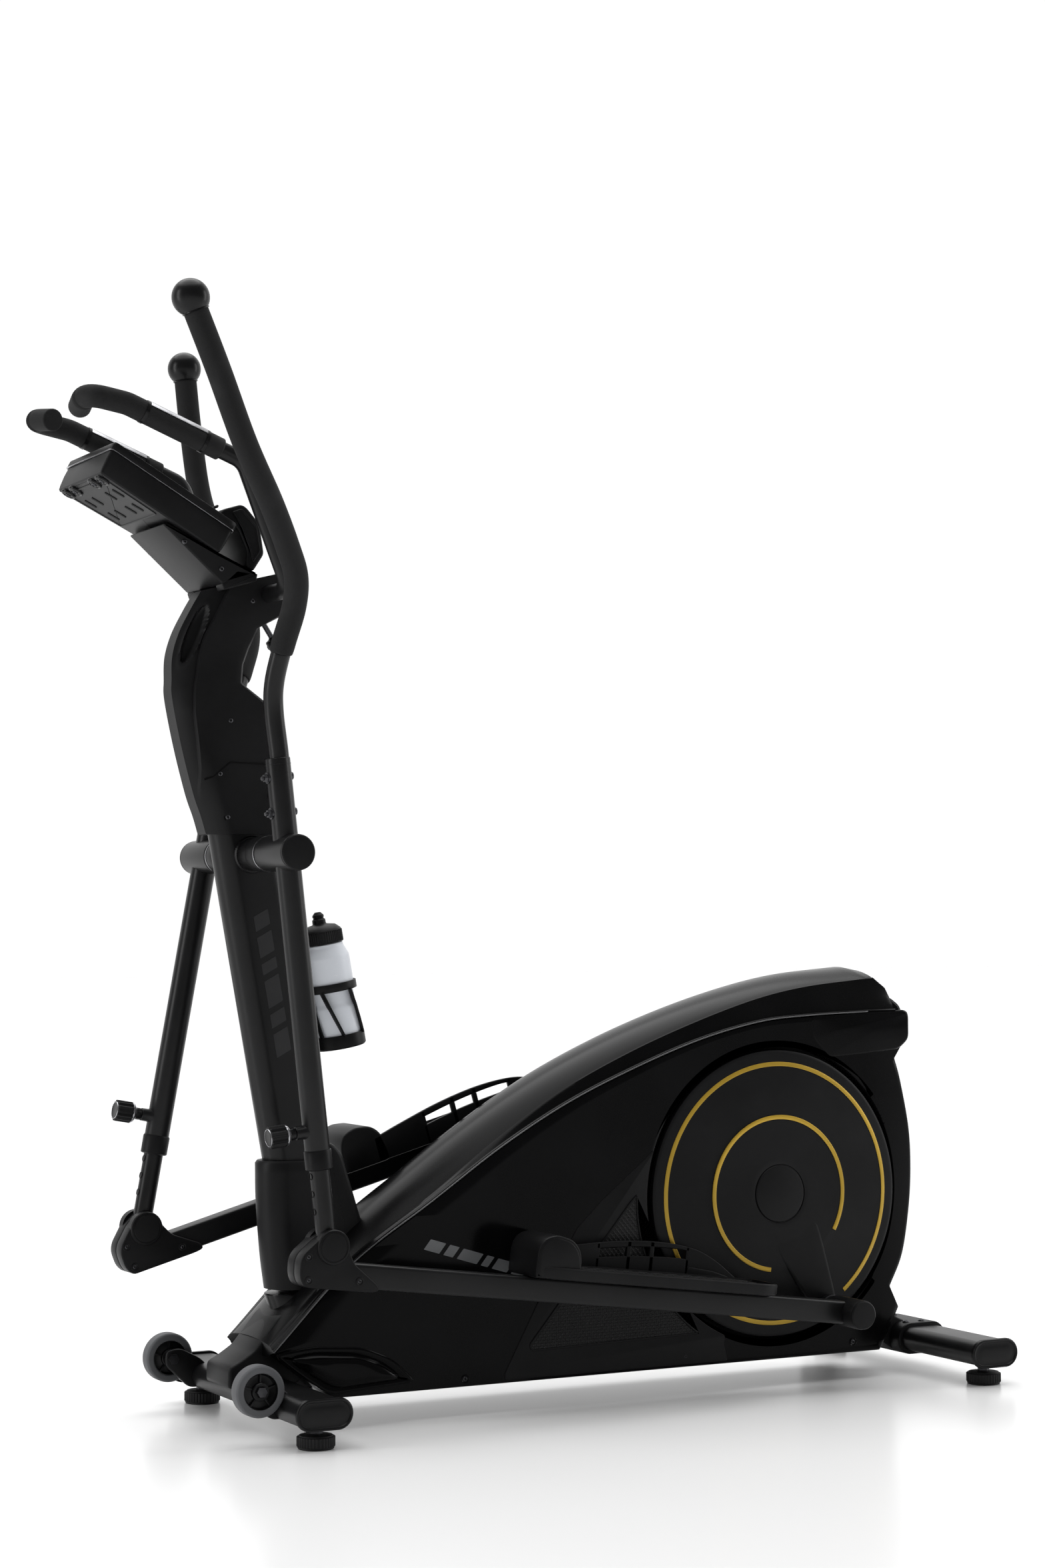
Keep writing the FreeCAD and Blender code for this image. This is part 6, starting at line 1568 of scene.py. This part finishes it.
@dataclass
class Console:
    """The console: a tapering tub, a bezel round the display, three keys, a tablet ledge and a neck."""

    tilt: float = math.radians(28)
    top: tuple = (-254.0, 0.0, 1393.0)
    high_half: float = 99.0
    low_half: float = 78.0
    long: float = 218.0
    keys: tuple = (("key_mode", 0.0), ("key_up", 38.0), ("key_down", -38.0))
    key_run: float = 150.0
    key_radius: float = 7.9

    def __post_init__(self) -> None:
        """Set the face's plane: right runs down the face, rise is across, levels stand off it."""
        down = (math.cos(self.tilt), 0.0, -math.sin(self.tilt))
        self.face = Plane(self.top, down, (0.0, 1.0, 0.0), (math.sin(self.tilt), 0.0, math.cos(self.tilt)))
        self.back = Plane(self.top, down, (0.0, 1.0, 0.0), (-math.sin(self.tilt), 0.0, -math.cos(self.tilt)))

    def on_face(self, run: float, lift: float) -> Array:
        """A point (x, z) down the face and above it."""
        return self.face.point(np.array([run, 0.0]), lift)[[0, 2]]

    def plan(self, start: float, stop: float, inset: float, reach: float) -> Array:
        """A tapering plan outline with round corners."""
        lean = (self.high_half - self.low_half) / self.long
        high, low = self.high_half - inset - lean * start, self.high_half - inset - lean * stop
        return softened(points((start, -high), (stop, -low), (stop, low), (start, high)), reach, 8)

    def build(self) -> None:
        """Make the tub, bezel, display, keys, ledge and neck."""
        self.build_tub()
        self.build_bezel()
        self.build_display()
        self.build_keys()
        self.build_ledge()
        self.build_neck()

    def build_tub(self) -> None:
        """Tub: walls that draw in towards a flat back with a plate, slots and four thumb screws."""
        shell = Shell()
        plan = self.plan(2, 217, 4, 7)
        shell.dish(plan, [(2, -12.2), (0, -12.6), (0, -28), (1.2, -42.0), (2.2, -47.5), (4.0, -49.4),
                          (6.5, -50.0)], self.face)
        plate = self.plan(14, 108, 16, 6)
        shell.dish(plate, [(0, 46), (0, 50.6), (0.8, 51.4), (2.6, 51.4), (3.4, 50.5), (6, 50.4)], self.back)
        for run, across in ((16.0, -72.0), (16.0, -40.0), (16.0, 40.0), (16.0, 72.0)):
            centre = self.back.point(np.array([run, across]), 50.5)
            knob = points((0, -2), (11, -2), (11.4, 0.8), (10.6, 2.6), (8.0, 3.4), (7.2, 2.4), (0, 2.2))
            shell.lathe(knob, centre, np.array(self.back.normal), 40, 1)
            dome_screw(shell, centre + 2.4 * np.array(self.back.normal), np.array(self.back.normal), 4.4, 3)
        lozenge = softened(points((-11, -2.6), (9, -4.2), (11, 2.6), (-9, 4.2)), 2.2, 3)
        for run, across in ((48, -58), (48, -28), (48, 28), (48, 58), (84, -50), (84, -22), (84, 22),
                            (84, 50)):
            shell.slab(lozenge + points((run, across)), 50.3, 51.2, 0.3, self.back, 2)
        shell.piece("console_tub", "frame", SATIN, SMOOTH, DEEP, BOLT, replaces=("console_back",),
                    slot="satin_panel")

    def build_bezel(self) -> None:
        """Bezel: a ring between the outer plan and the window, so that the display lies sunk in it."""
        middle, count = (66.0, 0.0), 220
        outer, window = paired(self.plan(0, self.long, 0, 8), count, middle), paired(self.plan(14, 118, 17,
                9), count, middle)
        rows = [(outer, 2.0, -12.0), (outer, 0.3, -11.2), (outer, 0.0, -9.8), (outer, 0.0, -2.6),
                (outer, 0.9, -0.8), (outer, 3.0, 0.0), (window, -2.6, 0.0), (window, -1.0, -0.5),
                (window, 0.0, -1.8), (window, 0.0, -11.5), (window, -3.0, -12.0)]
        shell = Shell().grid(np.stack([self.face.point(inset_outline(line, inset), level)
                                       for line, inset, level in rows]),
                             joined=True, caps=False)
        rim = self.plan(0.4, self.long - 0.4, 0.4, 8)
        lifted = [(0.6, -13.2), (-0.9, -13.0), (-0.9, -12.2), (0.6, -12.0)]
        shell.grid(np.stack([self.face.point(inset_outline(rim, inset), level) for inset, level in lifted]),
                   joined=True, caps=False, mark=1)
        shell.piece("console_frame", "frame", SATIN, STEEL, replaces=("console_bezel",), slot="satin_panel")

    def build_display(self) -> None:
        """Display: a sunken glass with rows of unlit bars in three fields."""
        shell = Shell().slab(self.plan(14.4, 117.6, 17.4, 9), -11.4, -3.0, 0.6, self.face)
        bar = points((0, -1), (0.9, -0.2), (0.9, 0.2), (0, 1), (-0.9, 0.2), (-0.9, -0.2))
        for run in (36.0, 68.0, 98.0):
            for across in np.arange(-4, 5) * 12.5:
                for shift, tall in (((-5.5, -3.4), True), ((-5.5, 3.4), True), ((5.5, -3.4), True),
                                    ((5.5, 3.4), True), ((-10.6, 0), False), ((0, 0), False),
                                    ((10.6, 0), False)):
                    flat = bar[:, ::-1] * points((4.3, 0.8)) if tall else bar * points((0.8, 2.7))
                    shell.slab(flat + points((run, across)) + points(shift), -3.1, -2.85, 0.0, self.face, 1)
        shell.piece("display_panel", "frame", DISPLAY, SEGMENT, slot="satin_panel")

    def build_keys(self) -> None:
        """Keys: a round cap with a rounded shoulder and a shallow dish, and a raised mark."""
        for name, across in self.keys:
            centre = self.face.point(np.array([self.key_run, across]), 0.0)
            r = self.key_radius
            profile = points((0, -9), (r, -9), (r, 2.15), (r - 0.5, 2.7), (r - 1.6, 2.95), (r - 2.6, 2.8),
                             (r * 0.4, 2.2), (0, 2.0))
            shell = Shell().lathe(profile, centre, np.array(self.face.normal), 48)
            turn = {"key_up": 1, "key_down": -1}.get(name, 0)
            mark = points((-2.6 * turn, 0), (1.6 * turn, -2.6), (1.6 * turn, 2.6)) if turn else oblong(5.4,
                    5.4, 24)
            shell.slab(mark + points((self.key_run, across)), 1.8, 2.5, 0.1, self.face, 1)
            shell.piece(name + "_cap", name, SMOOTH, MARK, replaces=(name,), slot="keys")

    def build_ledge(self) -> None:
        """Tablet ledge: a hooked lip across the lower edge, with a rubber strip in its groove."""
        lip = points((-84, 1304), (-79, 1313), (-50, 1322), (-42, 1318), (-22, 1296), (-15, 1252),
                     (-32, 1226), (-44, 1232), (-42, 1256), (-55, 1284), (-66, 1296))
        shell = Shell().slab(softened(lip, 5, 5), -62, 62, 3.0)
        for side in Side:
            plane = Plane(normal=(0.0, float(side.value), 0.0))
            cheek = softened(points((-66, 1310), (-50, 1316), (-27, 1292), (-21, 1256), (-33, 1238),
                                    (-38, 1258), (-50, 1288)), 4, 4)
            shell.dish(cheek, [(0, 58), (0, 62.6), (0.8, 63.4), (2.2, 63.4), (3.0, 62.4)], plane)
        for across in (-40, 0, 40):
            strip = softened(points((184, across - 14), (187, across - 14), (187, across + 14),
                                    (184, across + 14)), 1, 3)
            shell.slab(strip, 12, 15.5, 0.4, self.face, 1)
        shell.piece("tablet_ledge", "frame", SATIN, TREAD, replaces=("tablet_holder",), slot="satin_panel")

    def build_neck(self) -> None:
        """Neck: a wedge from the mast head to the tub, with a skirt and two screws a side."""
        foot, low, crest = (-82, 1204.5), self.on_face(213, -50.8), self.on_face(128, -50.8)
        outline = np.array([foot, (-38, 1219), (-28, 1221.5), tuple(low), tuple(crest),
                            (crest[0] - 8, crest[1] - 3)])
        shell = Shell().slab(softened(outline, 3, 4), -69.5, 69.5, 3.0)
        for side in Side:
            plane = Plane(normal=(0.0, float(side.value), 0.0))
            skirt = softened(points((-83, 1205), (-80, 1196), (-30, 1211), (-28, 1222), (-60, 1226)), 2, 4)
            shell.slab(skirt, 43.5, 69.5, 2.0, plane)
            for x, z in ((-140, 1262), (-84, 1226)):
                dome_screw(shell, plane.point(np.array([x, z]), 69.2), ACROSS * side.value, 4.0, 1)
        shell.piece("console_wedge", "frame", SATIN, BOLT, replaces=("console_neck",), slot="satin_panel")


# ---------------------------------------------------------------- fixed handlebar
@dataclass
class Handlebar:
    """The fixed handlebar with foam grips, metal pulse plates and the T knob that clamps it."""

    radius: float = 12.4
    foam: float = 16.1
    seat: tuple = (3.0, 1198.0)
    bends: tuple = (34.0, 32.0, 60.0, 30.0)
    knob_base: tuple = (24.0, 0.0, 1136.0)
    knob_way: tuple = (-0.55, 0.0, 0.835)

    def corners(self, side: Side) -> Array:
        """The bar's corners on one side, from its seat to the turned-in tip."""
        x, z = self.seat
        return points((x, 0, z), (x - 4, 122, z - 2), (-72, 123, 1374), (-246, 123, 1442), (-306, 121, 1452),
                      (-293, 60, 1444)) * points((1, side.value, 1))

    def build(self) -> None:
        """Make the tube, both grips with their plates, and the knob."""
        both = np.vstack([self.corners(Side.LEFT)[::-1], self.corners(Side.RIGHT)[1:]])
        path = bent(both, self.bends[::-1] + (1.0,) + self.bends)
        shell = tube(path, self.radius, 1.0, 36)
        shell.piece("handlebar_tube", "frame", POWDER, replaces=("fixed_handlebar",), slot="painted_tube")
        grips, plates = Shell(), Shell()
        for side in Side:
            self.add_grip(grips, plates, side)
        grips.piece("handlebar_foam", "frame", FOAM, SMOOTH, replaces=("handlebar_grips",), slot="foam")
        plates.piece("pulse_plates", "frame", STEEL, SMOOTH, replaces=("pulse_sensors",), slot="steel")
        self.build_knob()

    def add_grip(self, grips: Shell, plates: Shell, side: Side) -> None:
        """Foam sleeve with rolled ends; the plate is an arc of 110 degrees swept along the grip."""
        corners = self.corners(side)
        start = corners[2] + (corners[3] - corners[2]) * 0.2
        end = corners[5] + unit(corners[5] - corners[4]) * 3.0
        line = bent(np.vstack([start, corners[3:5], end]), self.bends[2:])
        grips.sweep(spread(line, 60), circle(self.foam, 40), edge=2.4)
        way = unit(corners[3] - corners[2])
        first, out = start + way * 30.0, self.foam + 1.3
        lift = unit(np.cross(way, ACROSS)) * (1 if np.cross(way, ACROSS)[2] > 0 else -1)
        turn = np.radians(np.linspace(-58, 58, 18))
        arc_out = np.stack([np.cos(turn), np.sin(turn)], axis=1) * out
        section = np.vstack([arc_out, arc_out[::-1] * (self.foam - 0.6) / out])
        plates.sweep(np.stack([first + way * along for along in (0, 30, 60, 90)]), section, hint=lift,
                     edge=0.5)
        for along in (-4.0, 91.0):
            ring = points((self.foam - 1, -1.5), (self.foam + 0.9, -1.0), (self.foam + 0.9, 3.6),
                          (self.foam - 1, 4.2))
            plates.lathe(ring, first + way * along, way, 44, 1)

    def build_knob(self) -> None:
        """Knob: a turned stem and collar under a round cross bar with domed ends."""
        base, way = np.array(self.knob_base), unit(np.array(self.knob_way))
        shell = Shell()
        stem = points((0, -19.8), (9.6, -19.8), (11.6, -16), (11.9, -12), (11.9, -1), (10.8, 0.4), (6, 1.8),
                      (4.2, 4), (0, 4))
        shell.lathe(stem, base, way, 40)
        shell.lathe(points((0, 2), (3.9, 2), (3.9, 25.8), (0, 25.8)), base, way, 24, 1)
        middle = base - way * 10
        bar = points((0, -22), (4.6, -21.6), (6.2, -19.6), (6.45, -16), (5.7, -6), (5.6, 6), (6.45, 16),
                     (6.2, 19.6), (4.6, 21.6), (0, 22))
        shell.lathe(bar, middle, ACROSS, 36)
        shell.piece("clamp_t_knob", "clamp_knob", SATIN, BOLT, replaces=("clamp_knob",), slot="satin_panel")


# ---------------------------------------------------------------- bottle
@dataclass
class Bottle:
    """The squeeze bottle and the cup that holds it behind the mast."""

    foot: tuple = (131.0, 0.0, 541.0)
    lean: float = math.radians(10.3)
    radius: float = 36.0
    shoulder: float = 146.0

    def build(self) -> None:
        """Make the bottle's body, its cap and the cage."""
        foot, up = np.array(self.foot), np.array([-math.sin(self.lean), 0.0, math.cos(self.lean)])
        r, top = self.radius, self.shoulder
        body = softened(points((0, 2), (r - 6, 2), (r - 0.3, 8), (r, 58), (r - 2.3, 64), (r - 2.6, 75),
                               (r - 2.3, 86), (r, 92), (r, top - 14), (r - 4.5, top - 3), (r - 6.4, top + 1),
                               (r - 6.6, top + 6), (0, top + 6)), 2.4, 4)
        body = np.vstack([[0, 2], body[body[:, 0] > 1], [0, top + 6]])
        Shell().lathe(body, foot, up, 96).piece("bottle_flask", "bottle", MILK, replaces=("bottle_body",),
                                                slot="bottle_shell")
        self.build_cap(foot, up, top + 6.2)
        self.build_cage(foot, up)

    def build_cap(self, foot: Array, up: Array, base: float) -> None:
        """Cap: a skirt whose radius is 30.7 + 0.5 cos 60a, a coned shoulder and a pull spout."""
        r = self.radius
        turn = np.linspace(0, 2 * math.pi, 360, endpoint=False)
        ribs = np.stack([np.cos(turn), np.sin(turn)], axis=1) * (r - 5.0 + 0.45 * np.cos(60 * turn))[:, None]
        shell = Shell().sweep(foot + up * points((base + 1.5,), (base + 3,), (base + 16,), (base + 18.2,)),
                              ribs, edge=1.0)
        dome = points((0, base + 0.2), (r - 5.4, base + 0.2), (r - 4.7, base + 1.0), (r - 4.7, base + 1.9),
                      (r - 6, base + 2.4), (r - 6, base + 17.5), (r - 5.2, base + 18.4),
                      (r - 6.6, base + 20.6), (r - 13, base + 26.2), (11.4, base + 28.6), (10, base + 29.6),
                      (9.8, base + 35.4), (8.2, base + 36.8), (7.6, base + 38), (8.6, base + 40),
                      (8.2, base + 42.5), (6, base + 44.8), (4.4, base + 46.6), (0, base + 46.9))
        shell.lathe(dome, foot, up, 72)
        shell.piece("bottle_lid", "bottle", SATIN, replaces=("bottle_cap",), slot="bottle_top")

    def build_cage(self, foot: Array, up: Array) -> None:
        """Cage: a floor cup, a hoop above it, slanted struts between them and a pad on the mast."""
        right = np.array([math.cos(self.lean), 0.0, math.sin(self.lean)])
        shell, inner, outer = Shell(), self.radius + 0.7, self.radius + 3.5
        hoop_low, hoop_high = 82.0, 94.0
        floor = points((0, -1.9), (outer - 2, -1.9), (outer, 0.4), (outer, 17.0), (outer - 0.5, 18.0),
                       (inner, 18.0), (inner, 1.2), (0, 1.0))
        shell.lathe(floor, foot, up, 88)
        ring = points((inner, hoop_low), (outer, hoop_low), (outer, hoop_high), (inner, hoop_high))
        shell.lathe(softened(ring, 0.9, 3), foot, up, 88)
        middle = (inner + outer) / 2
        for start, slant in ((100.0, 34.0), (150.0, 20.0), (180.0, 0.0), (210.0, -20.0), (260.0, -34.0),
                             (40.0, 26.0), (320.0, -26.0)):
            lift = np.linspace(16.5, 84.0, 16)
            turn = np.radians(start + slant * (lift - 16) / 68)
            line = foot + up * lift[:, None] + middle * (np.cos(turn)[:, None] * right
                                                         + np.sin(turn)[:, None] * ACROSS)
            shell.sweep(line, softened(points((-1.3, -5.5), (1.3, -5.5), (1.3, 5.5), (-1.3, 5.5)), 0.8, 3),
                        hint=right)
        plane = Plane(tuple(foot), tuple(right), tuple(up), (0.0, 1.0, 0.0))
        pad = softened(points((-60, 6), (-38.4, 6), (-38.4, 86), (-60, 86)), 4, 4)
        shell.slab(pad, -11.5, 11.5, 2.0, plane)
        shell.piece("bottle_holder", "frame", SATIN, replaces=("bottle_cage",), slot="satin_panel")


# ---------------------------------------------------------------- inside parts and studio
INSIDE = {"main_frame": POWDER, "crank_arms": POWDER, "flywheel": IRON, "magnet_bracket": BOLT,
          "pivot_axle": STEEL, "crank_axle": STEEL, "crank_bearings": BOLT, "drive_pulley": SMOOTH,
          "drive_belt": TREAD}


def dress_inside() -> None:
    """Give the carried-over CAD parts inside the covers their materials."""
    for name, finish in INSIDE.items():
        mesh = frame["nodes"][name].data
        mesh.materials.clear()
        mesh.materials.append(finish.material())


@dataclass
class Studio:
    """Pale floor, bright soft surroundings, large lamps and the camera."""

    eye: tuple = (-2.02508, -3.8506, 0.7268)
    yaw: float = 27.809
    pitch: float = 2.698
    roll: float = 0.185
    lens: float = 65.487

    def build(self) -> None:
        """Make the floor, the surroundings, the lamps and the camera."""
        scene = bpy.context.scene
        scene.view_settings.view_transform = "Standard"
        self.build_floor()
        self.build_world(scene)
        for name, place, size, power, aim in (
                ("left_panel", (-4.4, 0.4, 1.9), (0.9, 3.4), 60.0, (0.0, 0.0, 0.9)),
                ("right_panel", (4.2, -1.4, 2.2), (0.9, 3.4), 50.0, (0.0, 0.0, 0.7))):
            self.add_lamp(name, place, size, power, aim)
        self.add_sky()
        self.build_camera(scene)

    def build_floor(self) -> None:
        """A wide white sheet with a faint gloss."""
        mesh = bpy.data.meshes.new("studio_floor")
        mesh.from_pydata([(-30, -30, 0), (30, -30, 0), (30, 30, 0), (-30, 30, 0)], [], [(0, 1, 2, 3)])
        tree = Tree("studio_floor")
        mesh.materials.append(tree.finish((0.93, 0.93, 0.93), 0.24, Specular_IOR_Level=0.35))
        floor = bpy.data.objects.new("studio_floor", mesh)
        bpy.context.scene.collection.objects.link(floor)

    def build_world(self, scene: bpy.types.Scene) -> None:
        """White paper all round: full strength behind the machine, less in front, by a fixed direction."""
        world = bpy.data.worlds.new("studio")
        tree = Tree(world)
        way = tree.node("ShaderNodeTexCoord", {}, {}, "Generated")
        x, y = (tree.node("ShaderNodeSeparateXYZ", {}, {0: way}, index) for index in range(2))
        behind = (x * 0.42 + y * 0.9).clear_of(0.05, 0.62)
        light = tree.node("ShaderNodeBackground", {}, {"Color": (1.0, 1.0, 1.0, 1.0), "Strength": behind
                                                       * 0.78 + 0.24})
        end = tree.nodes.new("ShaderNodeOutputWorld")
        tree.links.new(light.output, end.inputs["Surface"])
        scene.world = world

    def add_lamp(self, name: str, place: tuple, size: tuple, power: float, aim: tuple) -> None:
        """One rectangular lamp aimed at a point."""
        lamp = bpy.data.lights.new(name, "AREA")
        lamp.shape, lamp.size, lamp.size_y, lamp.energy = "RECTANGLE", size[0], size[1], power
        holder = bpy.data.objects.new(name, lamp)
        holder.location = place
        way = Vector(aim) - Vector(place)
        holder.rotation_euler = way.to_track_quat("-Z", "Y").to_euler()
        bpy.context.scene.collection.objects.link(holder)

    def add_sky(self) -> None:
        """A very wide soft light from straight above, which keeps the whole floor even."""
        lamp = bpy.data.lights.new("sky_light", "SUN")
        lamp.energy, lamp.angle = 2.35, math.radians(70)
        holder = bpy.data.objects.new("sky_light", lamp)
        holder.rotation_euler = (math.radians(-12), 0.0, 0.0)
        bpy.context.scene.collection.objects.link(holder)

    def build_camera(self, scene: bpy.types.Scene) -> None:
        """The camera: yaw from +Y towards +X, pitch up, and a trace of roll."""
        camera = bpy.data.cameras.new("camera")
        camera.lens, camera.sensor_fit, camera.sensor_width = self.lens, "AUTO", 36.0
        holder = bpy.data.objects.new("camera", camera)
        turn = (Matrix.Rotation(math.radians(-self.yaw), 4,
                                "Z") @ Matrix.Rotation(math.radians(90 + self.pitch), 4, "X")
                @ Matrix.Rotation(math.radians(-self.roll), 4, "Z"))
        holder.matrix_world = Matrix.Translation(self.eye) @ turn
        scene.collection.objects.link(holder)
        scene.camera = holder


def main() -> None:
    """Build every sub-assembly in order."""
    logging.basicConfig(level=logging.INFO, format="%(message)s")
    for side in Side:
        at = Linkage(side)
        SwingingArm(at).build()
        TelescopicLeg(at).build()
        PedalBar(at).build()
        CrankDisc(at).build()
    for assembly in (Base(), Shroud(), Mast(), MastHead(), Console(), Handlebar(), Bottle()):
        assembly.build()
    dress_inside()
    Studio().build()


if __name__ == "__main__":
    main()
